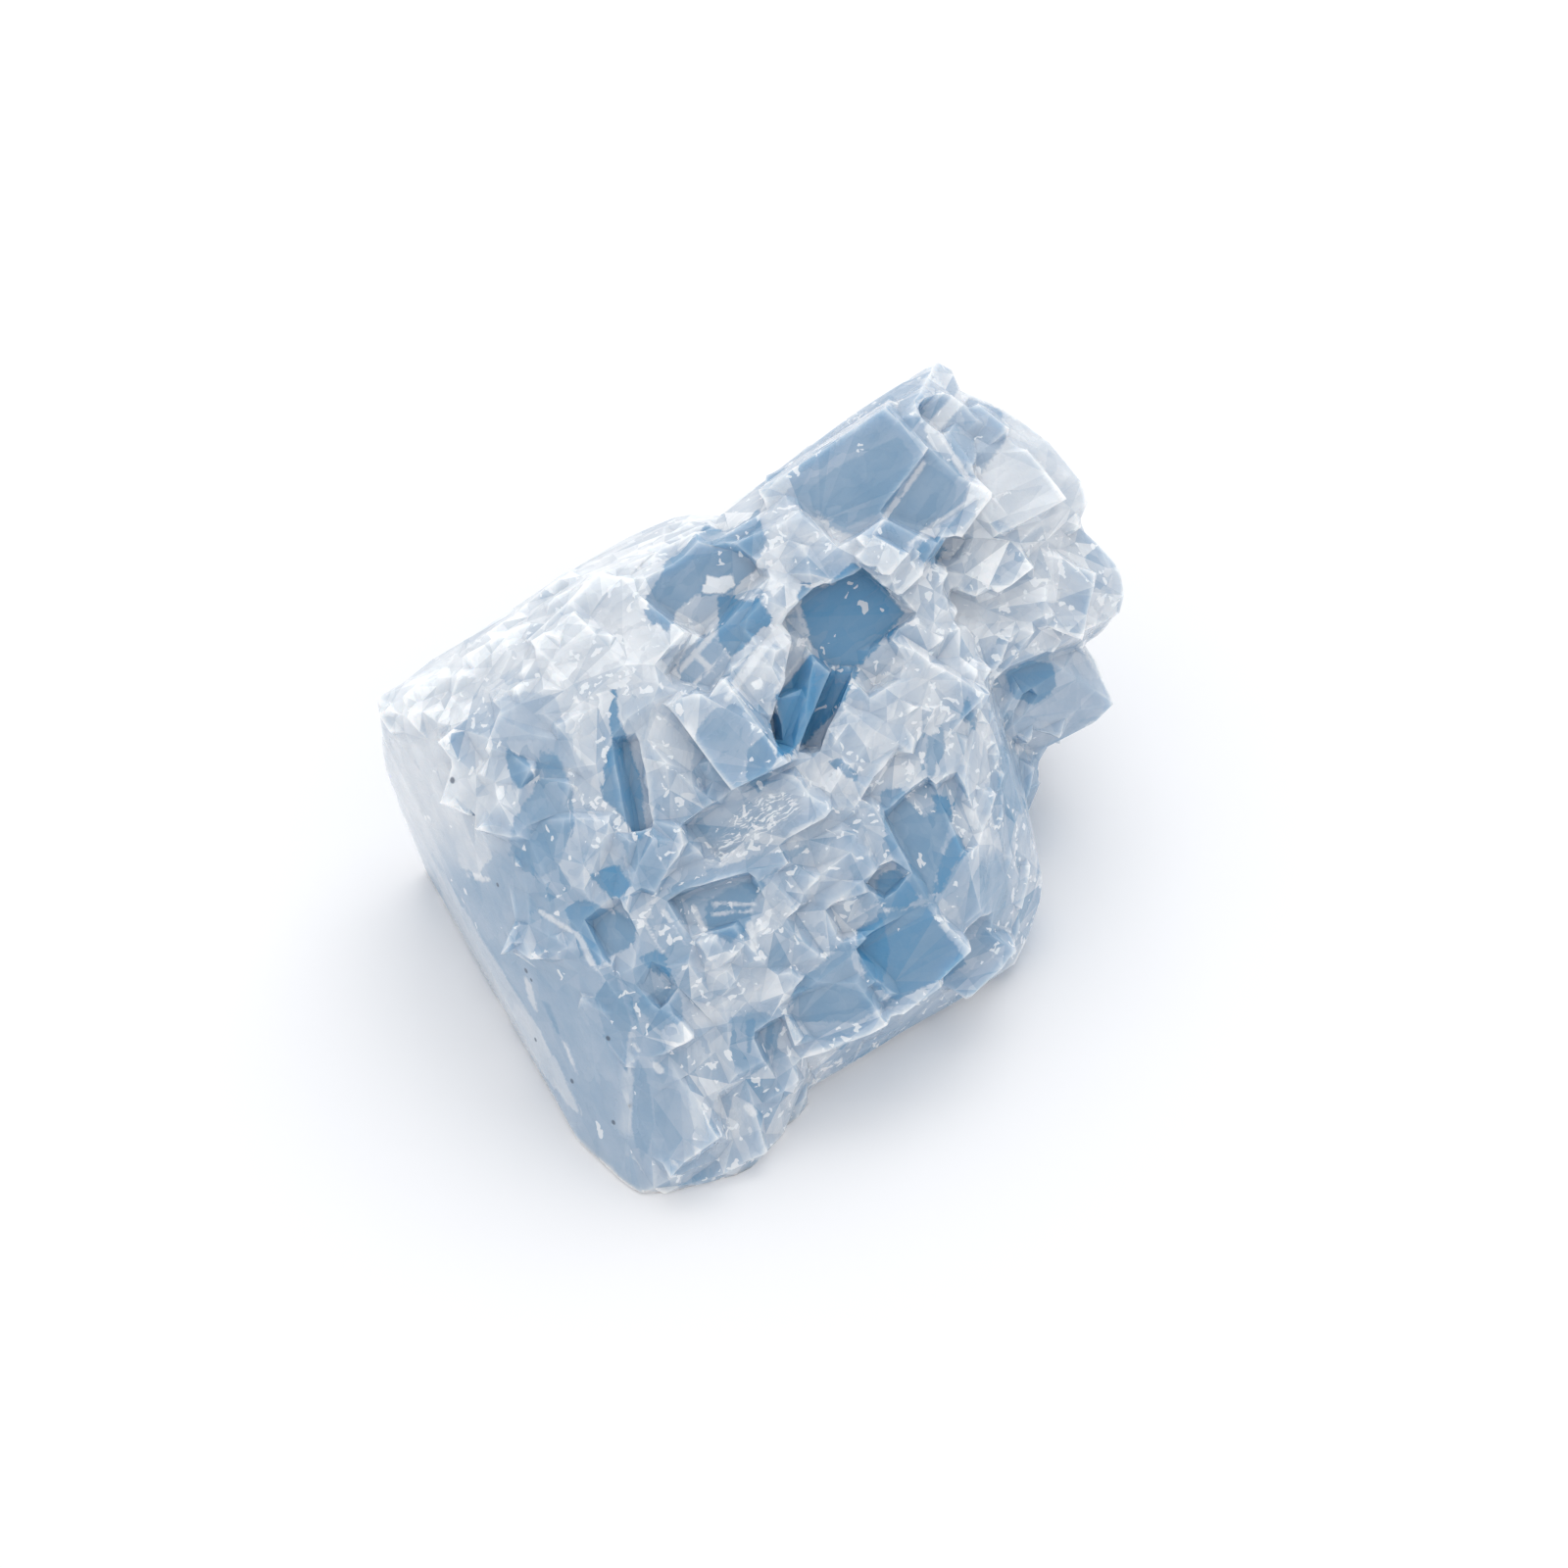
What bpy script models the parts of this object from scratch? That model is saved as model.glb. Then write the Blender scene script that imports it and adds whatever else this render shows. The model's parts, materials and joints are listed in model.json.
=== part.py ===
"""A rough chunk of blue calcite, lying on a flat cleaved base.

The stone is one piece. A few large cleaved masses give its outline. Flat windows, small cleavage
rhombs, frosted ridges and notches are fused to them or cut out of them.

Units are metres and +Z is up. The stone rests on Z = 0, and its long axis runs along X, from the
smooth cleaved end (-X) to the ragged end (+X). Shapes are laid out in mm on the broken face, which
leans back: across it, up it, and out of it.
"""

import math
import random

import bmesh
import bpy
from mathutils import Euler, Matrix, Vector
from mathutils.bvhtree import BVHTree

MM = 0.001

# The broken face leans back by this much, its middle is this far above the floor, and it is seen
# from this far in front. Heights and distances are in mm.
FACE_RISE = math.radians(50)
FACE_HEIGHT = 20.0
FACE_VIEW = 356.0
LONG_AXIS_TURN = math.radians(-29)

# Calcite cleaves along three planes, and the edges where they meet are this far from square.
EDGE_LEAN = math.radians(12)

CALCITE_COLOUR = (0.45, 0.58, 0.70)
CALCITE_ROUGHNESS = 0.35

SEED = 7
STEP_COUNT = 250
NOTCH_COUNT = 50
NOTCH_SIZES = (2.5, 6.0)
NOTCH_DEPTHS = (0.3, 1.0)
STEP_SIZES = (3.5, 8.0)
STEP_RISES = (0.2, 0.9)
SMOOTH_END_RISES = (0.1, 0.3)
RIDGE_SPREAD = 1.3
WINDOW_DEPTH = 6.0
WINDOW_CUT = 0.12
WINDOW_LIP = 0.5
OUTLINE_SLACK = 0.25

# Which way the smooth cleaved end faces, before the turn to the long axis. The surface that faces
# this nearly that way, left of this place, is the smooth end, and most steps are left off it.
SMOOTH_END_NORMAL = Vector((-0.84, -0.52, 0.15)).normalized()
SMOOTH_END_FACING = 0.85
SMOOTH_END_LEFT_OF = -8
SMOOTH_END_BARE = 0.8

# No step or notch goes on a surface that faces down more than this.
UNDERSIDE_FACING = -0.7

# The edges of a step and of a rhomb in a ridge, as shares of its mean edge.
STEP_SHAPES = (0.6, 1.5)
RIDGE_SHAPES = (0.6, 1.6)

# The outline of the stone as seen square on to the broken face, in mm across and up.
OUTLINE = [
    (-33.2, 7.0), (-32.0, 7.4), (-29.6, 8.2), (-27.6, 10.8), (-25.6, 12.0), (-21.6, 14.4), (-19.6, 16.0),
    (-14.4, 19.2), (-11.6, 20.8), (-8.8, 21.8), (-6.8, 21.8), (-5.2, 22.4), (-0.8, 25.8), (5.6, 30.4),
    (10.8, 33.6), (12.6, 34.9), (14.0, 34.0), (14.8, 32.2), (17.6, 30.8), (21.6, 28.0), (24.4, 24.6),
    (25.0, 22.8), (23.8, 21.6), (24.6, 20.4), (27.6, 17.6), (28.0, 15.2), (27.4, 13.6), (24.6, 11.4),
    (25.8, 8.8), (27.0, 6.4), (25.2, 4.8), (21.0, 2.4), (21.0, 0.0), (19.2, -3.0), (21.0, -7.2),
    (20.8, -9.6), (19.6, -11.2), (19.8, -12.8), (18.8, -14.8), (14.8, -17.6), (8.4, -20.8), (2.4, -24.8),
    (0.0, -28.8), (-2.0, -30.8), (-8.8, -33.2), (-10.8, -33.8), (-12.8, -32.8), (-16.8, -29.2),
    (-21.6, -21.6), (-26.8, -12.4), (-28.0, -10.8), (-31.6, -1.6), (-32.7, 1.6), (-33.1, 4.4),
]

# The corners of the large masses. Those on the broken face are across, up and out of it; those on
# the hidden sides are x, y and height.
MASSES = {
    "smooth_end": {
        "face": [
            (-33.2, 6.9, -1.5), (-33.0, 4.3, -5), (-32.6, 1.4, -9), (-31.6, -1.6, -14),
            (-28.0, 10.7, -5), (-22.0, 14.2, -6.5), (-14.7, 19.2, -7.5), (-9.0, 21.9, -8),
            (-6.1, 22.0, -8), (-16.7, -29.4, -1.2), (-12.9, -32.8, 1.6), (-10.9, -33.8, 2.4),
            (-8.9, -33.2, 2.6), (-4.5, -31.8, 1.6), (-2.0, -30.8, 0.6), (-0.2, -28.8, -1.2),
            (-29.4, 6.7, 0.5), (-24.6, 4.0, 6.5), (-19.8, -7.2, 8.6), (-15.4, -15.2, 8.8),
            (-12.2, -20.6, 8.4), (-9.1, -27.2, 6.4), (-24.0, 9.4, 3.0), (-18.4, 12.6, 4.4),
            (-12.0, 16.8, 4.6), (-5.0, 19.6, 4.6), (1.0, -22.0, 3.0), (2.0, 0.0, 5.6), (2.0, 12.0, 5.2),
        ],
        "floor": [
            (-31.0, 7.2, 0), (-26.5, 0.4, 0), (-18.6, -14.0, 0), (-12.4, -24.6, 0), (-9.8, -26.8, 0),
            (-3.0, -24.6, 0), (-25, 11, 0), (-30, 9.5, 8), (-8, 23, 0), (-9, 24, 24), (2, 26, 24),
            (2, 26, 0), (2, -18, 0),
        ],
    },
    "middle": {
        "face": [
            (-7.1, 21.6, -7), (-5.0, 19.8, 4.4), (9.5, 20.4, 2.6), (-6.0, 0.0, 7.4), (-6.0, -14.0, 7.6),
            (-4.0, -24.0, 5.0), (2.2, -24.8, -3.4), (8.4, -20.8, -6.2), (14.7, -17.5, -8.6),
            (18.8, -14.7, -11.4), (19.9, -12.6, -12), (21.0, -9.6, -12), (21.1, -7.3, -11),
            (19.8, -3.5, -9), (15.8, 9.8, 0.4), (14.4, -4.0, 2.2), (16.0, -10.4, 0.2),
            (10.6, -15.0, 2.2), (4.0, -19.6, 3.2), (17.8, -8.2, -3.2), (17.8, 4.1, -8),
        ],
        "floor": [
            (0, -17, 0), (10, -8.5, 0), (18.6, -1.5, 0), (20, 14, 0), (14, 31, 0), (15, 31, 22),
            (-4, 25, 0),
        ],
    },
    "high_block": {
        "face": [
            (-4.9, 22.4, -5), (-0.6, 25.6, -5), (5.7, 30.2, -5), (10.7, 33.4, -5), (12.5, 34.6, -5.4),
            (13.8, 33.8, -6), (-1.0, 22.4, 3.2), (10.6, 30.6, 1.6), (16.0, 24.8, 0.6),
            (11.0, 17.4, 4.4), (2.0, 17.0, 5.2), (14.8, 31.4, -4.0), (-5.0, 19.0, 3.0),
        ],
        "floor": [(0, 30, 18), (16, 35, 20), (17, 33, 4), (14, 24, 12), (12, 36, 30)],
    },
    "high_lump": {
        "face": [
            (13.6, 32.6, -5), (17.6, 30.8, -5.6), (21.6, 28.0, -6.6), (24.3, 24.7, -7.4),
            (24.9, 23.1, -7.8), (23.7, 21.7, -7.6), (12.0, 28.0, -0.4), (14.0, 14.0, -1.2),
            (21.0, 21.6, -3.0), (19.0, 26.8, -2.4), (21.9, 17.2, -7),
        ],
        "floor": [(20, 33, 20), (12, 30, 12), (20, 30, 6)],
    },
    "middle_lump": {
        "face": [
            (23.5, 21.5, -9), (24.7, 20.5, -9.4), (27.6, 17.6, -11), (28.0, 15.4, -11.4),
            (27.4, 14.0, -11.8), (24.6, 12.0, -11.4), (14.0, 20.0, -1.6), (14.6, 8.0, -2.6),
            (22.4, 16.0, -4.6), (20.4, 10.4, -6.0),
        ],
        "floor": [(24, 25, 12), (18, 30, 12), (12, 20, 8), (20, 24, 2)],
    },
    "ragged_rhomb": {
        "face": [
            (24.6, 11.6, -14.6), (26.0, 8.9, -15.6), (27.0, 6.6, -16.6), (25.4, 5.1, -17),
            (21.0, 2.9, -16.6), (14.4, 4.1, -6), (17.4, 12.7, -7), (22.8, 9.4, -10.8),
        ],
        "floor": [(22, 22, 3), (12, 16, 6), (14, 26, 8)],
    },
    "ragged_foot": {
        "face": [
            (21.0, 2.5, -17.6), (21.0, 0.2, -18.6), (20.0, -2.3, -20), (17.4, 3.1, -9),
            (16.2, -4.3, -8), (19.2, -1.0, -14),
        ],
        "floor": [(19, 14, 0), (12, 16, 2), (12, 4, 0), (19.5, 12, 0.8)],
    },
}

# Flat cleavage faces on the broken face. Each has its middle (across, up), how far it stands out of
# the mass there, its length and width, its turn, and how far it tips up and to the right in degrees.
WINDOWS = {
    "high_window": (6.4, 25.0, -0.1, 12.6, 8.8, 34, 4, -3),
    "high_window_low": (12.4, 23.0, -0.4, 7.5, 5.6, 52, 0, 6),
    "high_window_far": (13.2, 30.2, -0.3, 5.0, 3.6, 38, 6, 12),
    "pale_lump_face": (18.8, 24.6, 0.3, 7.0, 5.4, 28, 8, 14),
    "middle_lump_face": (23.2, 15.8, 0.3, 6.0, 5.6, -20, -4, 22),
    "small_square": (13.6, 18.8, -0.8, 3.4, 3.0, 52, 0, 4),
    "left_window": (-6.6, 15.8, -1.2, 8.2, 7.0, 46, -6, 10),
    "left_window_step": (-6.2, 9.8, -0.4, 6.2, 4.6, 56, 6, -8),
    "star_window": (5.0, 13.2, -1.7, 8.8, 7.4, 36, 0, 5),
    "star_window_low": (7.6, 9.0, -1.2, 4.4, 3.6, 30, -8, -6),
    "deep_bar": (0.9, 7.4, -2.2, 9.6, 2.6, 74, 0, 16),
    "deep_bar_right": (3.6, 6.0, -1.8, 8.4, 2.2, 68, 4, -14),
    "spike": (-12.8, 0.4, -1.1, 8.2, 2.2, -80, 0, -16),
    "left_dark": (-14.4, -12.2, -0.7, 5.4, 3.6, -60, 6, -10),
    "left_dark_low": (-11.0, -16.4, -0.6, 3.4, 2.8, -48, -6, 6),
    "needle_window": (-5.6, -10.4, -0.9, 7.4, 4.2, 16, 8, 0),
    "striated_bar": (-2.6, -2.8, 0.1, 11.0, 4.6, 30, -8, -4),
    "middle_bar": (-4.6, -6.6, -0.2, 10.0, 2.8, 25, 14, 2),
    "grey_star": (11.4, -4.4, -0.9, 8.8, 5.4, -62, 4, 8),
    "grey_star_side": (14.0, -2.0, -1.1, 6.6, 2.6, -66, 0, 20),
    "low_square": (10.8, -13.8, 0.3, 8.4, 6.2, 32, -6, 4),
    "low_square_left": (4.0, -18.6, 0.2, 7.8, 4.6, 22, -16, 2),
    "low_right_face": (15.2, -13.6, 0.1, 6.0, 5.0, 44, -14, 12),
    "small_dark": (8.4, -8.4, -0.8, 3.4, 2.8, 40, 0, 0),
    "foot_plate": (-8.6, -27.4, 0.2, 8.0, 5.2, -62, -12, -8),
    "foot_plate_right": (-3.6, -27.6, 0.2, 8.6, 4.4, -74, -18, 10),
    "foot_streak": (-0.6, -22.4, -0.5, 7.4, 3.2, -68, -10, 4),
}

# Frosted ridges of small crumbled rhombs: the line each one follows across and up the face, how
# many rhombs it has, their size, and how far they stand out.
RIDGES = {
    "rim": ([(-31.5, 6.0), (-26, 10), (-18, 15.4), (-8, 20.4), (-3, 21.8)], 34, 2.6, 0.54),
    "left_cluster": ([(-26, 8.4), (-19.2, 6.8), (-14.8, 3.6), (-12.6, -5)], 26, 2.8, 0.54),
    "window_divide": ([(-0.6, 19.8), (-0.2, 14), (-2.0, 7), (-4.6, 1.6)], 16, 2.4, 0.60),
    "y_ridge": ([(8, 19), (11.2, 16.2), (14.4, 13.0), (15.6, 7.6)], 20, 2.6, 0.60),
    "centre_frost": ([(3.4, 0.4), (8, 4.8), (12.6, 9.0)], 20, 3.0, 0.66),
    "under_needle": ([(-9, -14.6), (-3.2, -12.8), (2.4, -7.6)], 18, 2.6, 0.54),
    "middle_frost": ([(2.0, -6.8), (5.2, -4.4), (5.8, -14.2)], 16, 2.8, 0.54),
    "right_edge": ([(16, 8), (16.8, 1.8), (15.8, -3.4), (18.6, -7)], 20, 2.8, 0.48),
    "low_edge": ([(-8.8, -20.6), (-3, -19.4), (3, -14.6)], 14, 2.8, 0.48),
    "end_ridge": ([(-24.6, 3.0), (-19.4, -7.2), (-15.2, -15.2), (-11.0, -23.0)], 16, 2.4, 0.24),
}


# The grains of the stone: where each one is in mm, and its lattice's turn, tip up and tip to the
# right in degrees.
GRAINS = {
    "smooth_end": ((-26, -2, 10), (24, 0, -12)),
    "smooth_end_back": ((-22, 12, 12), (30, 6, -6)),
    "rim": ((-14, 6, 24), (32, 10, -2)),
    "left": ((-16, -4, 20), (62, 4, -10)),
    "low_left": ((-8, -14, 12), (24, -8, -6)),
    "foot": ((-2, -20, 6), (66, -12, 4)),
    "middle": ((-2, 0, 24), (34, -4, 0)),
    "centre": ((8, 4, 26), (52, 2, 4)),
    "low_right": ((10, -6, 12), (30, -6, 8)),
    "right": ((18, 4, 12), (70, 0, 16)),
    "high": ((6, 22, 36), (34, 4, -2)),
    "high_right": ((20, 22, 26), (28, 8, 14)),
    "ragged": ((22, 18, 10), (-20, -4, 20)),
    "back": ((-4, 26, 12), (40, 14, 4)),
    "back_right": ((14, 30, 14), (20, 18, 10)),
}


def on_face(across, up, out):
    """A place on the broken face, in mm, as a point of the stone before it turns to its long axis."""
    rise, run = math.sin(FACE_RISE), math.cos(FACE_RISE)
    near = 1 - out / FACE_VIEW
    across, up = across * near, up * near
    return Vector((across, up * rise - out * run, up * run + out * rise + FACE_HEIGHT))


def seen_at(point):
    """Where a point of the stone shows across and up the broken face."""
    rise, run = math.sin(FACE_RISE), math.cos(FACE_RISE)
    up = point.y * rise + (point.z - FACE_HEIGHT) * run
    out = (point.z - FACE_HEIGHT) * rise - point.y * run
    return point.x / (1 - out / FACE_VIEW), up / (1 - out / FACE_VIEW)


def hull(spec):
    """A closed convex mass through the corners in this table."""
    mass = bmesh.new()
    for corner in spec["face"]:
        mass.verts.new(on_face(*corner))
    for corner in spec["floor"]:
        mass.verts.new(corner)
    made = bmesh.ops.convex_hull(mass, input=mass.verts[:])
    unused = made["geom_interior"] + made["geom_unused"]
    loose = {item for item in unused if isinstance(item, bmesh.types.BMVert)}
    bmesh.ops.delete(mass, geom=list(loose), context="VERTS")
    bmesh.ops.recalc_face_normals(mass, faces=mass.faces[:])
    return mass


def cell(length, width, depth):
    """The matrix that makes a unit cube a cleavage rhomb of this size, with its edges off square."""
    lean = math.sin(EDGE_LEAN)
    return Matrix((
        (length, -lean * width, -lean * depth),
        (0, width, -lean * depth),
        (0, 0, depth),
    ))


def rhomb_corners(middle, turn, size):
    shape = turn @ cell(*size)
    signs = (-0.5, 0.5)
    return [middle + shape @ Vector((a, b, c)) for a in signs for b in signs for c in signs]


def add_rhomb(mesh, middle, turn, size):
    matrix = Matrix.Translation(middle) @ (turn @ cell(*size)).to_4x4()
    bmesh.ops.create_cube(mesh, size=1, matrix=matrix)


def reach(turn, size, normal):
    """How far a rhomb reaches from its middle along a direction."""
    edges = (turn @ cell(*size)).transposed()
    return sum(abs(edge.dot(normal)) for edge in edges) / 2


def inside_outline(across, up):
    """Whether a place is inside the stone's outline, counting the sides a level line crosses."""
    inside = False
    for (x0, y0), (x1, y1) in zip(OUTLINE, OUTLINE[1:] + OUTLINE[:1]):
        if (y0 > up) != (y1 > up) and across < x0 + (up - y0) / (y1 - y0) * (x1 - x0):
            inside = not inside
    return inside


def keeps_outline(middle, turn, size):
    """Whether a rhomb stays inside the outline of the stone, but for a little slack."""
    for corner in rhomb_corners(middle, turn, size):
        across, up = seen_at(corner)
        far = math.hypot(across, up)
        if not inside_outline(across * (1 - OUTLINE_SLACK / far), up * (1 - OUTLINE_SLACK / far)):
            return False
    return True


def facing(turn_deg, tip_up_deg, tip_right_deg):
    """The turn of a rhomb whose top looks out of the broken face, tipped and turned on it."""
    lean_back = Matrix.Rotation(math.pi / 2 - FACE_RISE, 3, "X")
    tipped = Euler((math.radians(-tip_up_deg), math.radians(tip_right_deg), 0)).to_matrix()
    return lean_back @ tipped @ Matrix.Rotation(math.radians(turn_deg), 3, "Z")


def face_point(surface, across, up):
    """The point of the masses that shows at a place on the broken face, and its normal."""
    eye = on_face(0, 0, FACE_VIEW)
    point, normal, _, _ = surface.ray_cast(eye, (on_face(across, up, 0) - eye).normalized())
    return point, normal


def add_window(pads, clearings, surface, spec):
    """Adds a pad with the window as its flat top, and the clearing that keeps the window open."""
    across, up, stands, length, width, turn_deg, tip_up, tip_right = spec
    turn = facing(turn_deg, tip_up, tip_right)
    point, _ = face_point(surface, across, up)
    outward = turn @ Vector((0, 0, 1))
    middle = point + outward * stands
    add_rhomb(pads, middle - outward * WINDOW_DEPTH / 2, turn, (length, width, WINDOW_DEPTH))
    opening = (length - WINDOW_LIP, width - WINDOW_LIP, WINDOW_DEPTH)
    add_rhomb(clearings, middle + outward * (WINDOW_DEPTH / 2 - WINDOW_CUT), turn, opening)


def in_window(across, up):
    for spec in WINDOWS.values():
        away = Matrix.Rotation(-math.radians(spec[5]), 2) @ Vector((across - spec[0], up - spec[1]))
        if abs(away.x) < spec[3] / 2 and abs(away.y) < spec[4] / 2:
            return True
    return False


def grain_turns():
    """The place of each grain of the stone, with the direction of its lattice."""
    return [(Vector(place), facing(*turns)) for place, turns in GRAINS.values()]


def lattice_at(grains, place, source):
    """The lattice of the nearest grain, a few degrees off as in a strained crystal."""
    _, lattice = min(grains, key=lambda grain: (grain[0] - place).length)
    return Euler([source.gauss(0, 0.1) for _ in range(3)]).to_matrix() @ lattice


def surface_places(triangles, count, source):
    """Points spread over the masses by area, each with its normal. The underside is left flat."""
    areas = [(b - a).cross(c - a).length for a, b, c in triangles]
    found = []
    while len(found) < count:
        a, b, c = source.choices(triangles, areas)[0]
        normal = (b - a).cross(c - a).normalized()
        u, v = sorted((source.random(), source.random()))
        place = a * u + b * (v - u) + c * (1 - v)
        smooth = normal.dot(SMOOTH_END_NORMAL) > SMOOTH_END_FACING and place.x < SMOOTH_END_LEFT_OF
        if normal.z > UNDERSIDE_FACING and not (smooth and source.random() < SMOOTH_END_BARE):
            found.append((place, normal, smooth))
    return found


def shows(place, normal):
    return (on_face(0, 0, FACE_VIEW) - place).dot(normal) > 0


def add_steps(mesh, triangles, grains, source):
    """Adds cleavage rhombs that stand a little out of the masses, clear of the windows."""
    for place, normal, smooth in surface_places(triangles, STEP_COUNT, source):
        if shows(place, normal) and in_window(*seen_at(place)):
            continue
        turn = lattice_at(grains, place, source)
        base = source.uniform(*STEP_SIZES)
        size = [base * source.uniform(*STEP_SHAPES) for _ in range(3)]
        rise = source.uniform(*(SMOOTH_END_RISES if smooth else STEP_RISES))
        add_within_outline(mesh, place, normal, turn, size, rise)


def add_within_outline(mesh, place, normal, turn, size, rise):
    """Adds a rhomb that stands out of the masses, made smaller where it would spoil the outline."""
    for shrink in (1, 0.7, 0.45):
        less = [length * shrink for length in size]
        middle = place + normal * (rise * shrink - reach(turn, less, normal))
        if keeps_outline(middle, turn, less):
            add_rhomb(mesh, middle, turn, less)
            return


def along(line, share):
    """The point at this share of the way along a line."""
    legs = [(Vector(a), Vector(b)) for a, b in zip(line, line[1:])]
    left = share * sum((b - a).length for a, b in legs)
    for a, b in legs:
        if left <= (b - a).length:
            return a.lerp(b, left / (b - a).length)
        left -= (b - a).length
    return legs[-1][1]


def add_ridge(mesh, surface, grains, spec, source):
    line, count, size_mean, rise = spec
    for index in range(count):
        spot = along(line, (index + source.random()) / count)
        across = spot.x + source.gauss(0, RIDGE_SPREAD)
        up = spot.y + source.gauss(0, RIDGE_SPREAD)
        point, normal = face_point(surface, across, up)
        if point is None or in_window(across, up):
            continue
        turn = lattice_at(grains, point, source)
        size = [size_mean * source.uniform(*RIDGE_SHAPES) for _ in range(3)]
        add_within_outline(mesh, point, normal, turn, size, rise * source.uniform(0.5, 1.4))


def add_notches(mesh, triangles, grains, source):
    """Adds the rhombs that have broken out of the masses, leaving a hollow where each one was."""
    for place, normal, smooth in surface_places(triangles, NOTCH_COUNT, source):
        if smooth or (shows(place, normal) and in_window(*seen_at(place))):
            continue
        turn = lattice_at(grains, place, source)
        size = [source.uniform(*NOTCH_SIZES) for _ in range(3)]
        depth = source.uniform(*NOTCH_DEPTHS)
        add_rhomb(mesh, place + normal * (reach(turn, size, normal) - depth), turn, size)


def helper(mesh, name):
    """A hidden object for the fusing or cutting of the stone."""
    data = bpy.data.meshes.new(name)
    mesh.to_mesh(data)
    mesh.free()
    piece = bpy.data.objects.new(name, data)
    piece.hide_render = True
    piece.display_type = "WIRE"
    bpy.context.scene.collection.objects.link(piece)
    return piece


def boolean(piece, other, operation):
    made = piece.modifiers.new(other.name, "BOOLEAN")
    made.operation = operation
    made.object = other
    made.solver = "EXACT"
    made.use_self = True


def evaluated(piece):
    """The mesh of an object with its modifiers applied."""
    graph = bpy.context.evaluated_depsgraph_get()
    return bpy.data.meshes.new_from_object(piece.evaluated_get(graph))


def fuse_masses():
    """One object with every large mass fused together."""
    masses = [helper(hull(spec), name) for name, spec in MASSES.items()]
    for other in masses[1:]:
        boolean(masses[0], other, "UNION")
    return masses[0]


def triangles_of(mesh):
    mesh.calc_loop_triangles()
    return [[mesh.vertices[i].co.copy() for i in face.vertices] for face in mesh.loop_triangles]


def add_relief(stone):
    """Fuses the windows, steps and ridges to the stone, and cuts its notches and its flat base."""
    source = random.Random(SEED)
    triangles = triangles_of(evaluated(stone))
    corners = [corner for triangle in triangles for corner in triangle]
    surface = BVHTree.FromPolygons(corners, [(i, i + 1, i + 2) for i in range(0, len(corners), 3)])
    grains = grain_turns()
    added, taken, cleared, ground = (bmesh.new() for _ in range(4))
    for spec in WINDOWS.values():
        add_window(added, cleared, surface, spec)
    add_steps(added, triangles, grains, source)
    for spec in RIDGES.values():
        add_ridge(added, surface, grains, spec, source)
    add_notches(taken, triangles, grains, source)
    bmesh.ops.create_cube(ground, size=200, matrix=Matrix.Translation((0, 0, -100)))
    boolean(stone, helper(added, "steps_and_ridges"), "UNION")
    boolean(stone, helper(taken, "notches"), "DIFFERENCE")
    boolean(stone, helper(cleared, "window_clearings"), "DIFFERENCE")
    boolean(stone, helper(ground, "ground"), "DIFFERENCE")


def calcite_material():
    material = bpy.data.materials.new("calcite")
    material.use_nodes = True
    surface = material.node_tree.nodes["Principled BSDF"]
    surface.inputs["Base Color"].default_value = (*CALCITE_COLOUR, 1)
    surface.inputs["Roughness"].default_value = CALCITE_ROUGHNESS
    surface.inputs["Metallic"].default_value = 0
    return material


def island_of(corner):
    """Every corner of a mesh that is joined to this one by edges."""
    island, edge_on = {corner}, [corner]
    while edge_on:
        for edge in edge_on.pop().link_edges:
            for other in edge.verts:
                if other not in island:
                    island.add(other)
                    edge_on.append(other)
    return island


def keep_outer_skin(mesh):
    """Deletes loose crumbs, and the skins of hollows that the notches left sealed in the stone."""
    work = bmesh.new()
    work.from_mesh(mesh)
    islands, left = [], set(work.verts)
    while left:
        islands.append(island_of(next(iter(left))))
        left -= islands[-1]
    islands.sort(key=len)
    bmesh.ops.delete(work, geom=[corner for island in islands[:-1] for corner in island], context="VERTS")
    work.to_mesh(mesh)
    work.free()


def finish(stone):
    """The fused stone as one plain mesh in metres, with the middle of its box over the origin."""
    mesh = evaluated(stone)
    keep_outer_skin(mesh)
    for old in list(bpy.data.objects):
        bpy.data.objects.remove(old)
    mesh.transform(Matrix.Scale(MM, 4) @ Matrix.Rotation(LONG_AXIS_TURN, 4, "Z"))
    xs, ys, zs = zip(*(v.co for v in mesh.vertices))
    middle = Vector((max(xs) + min(xs), max(ys) + min(ys), 2 * min(zs))) / 2
    mesh.transform(Matrix.Translation(-middle))
    mesh.materials.clear()
    mesh.materials.append(calcite_material())
    calcite = bpy.data.objects.new("calcite", mesh)
    bpy.context.scene.collection.objects.link(calcite)


def main():
    for old in list(bpy.data.objects):
        bpy.data.objects.remove(old)
    stone = fuse_masses()
    add_relief(stone)
    finish(stone)


main()
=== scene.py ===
"""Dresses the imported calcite: its crumbs, facets, blue windows, frost and fracture lines.

Lengths in this file are in mm unless a name or a unit says otherwise, and the finished stone is in
metres. The broken face is laid out as it is seen from in front: across it and up it.
"""

import json
import math
from itertools import product

import bmesh
import bpy
import numpy as np
from mathutils import Euler, Matrix, Vector, noise
from mathutils.bvhtree import BVHTree
from mathutils.kdtree import KDTree

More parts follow.
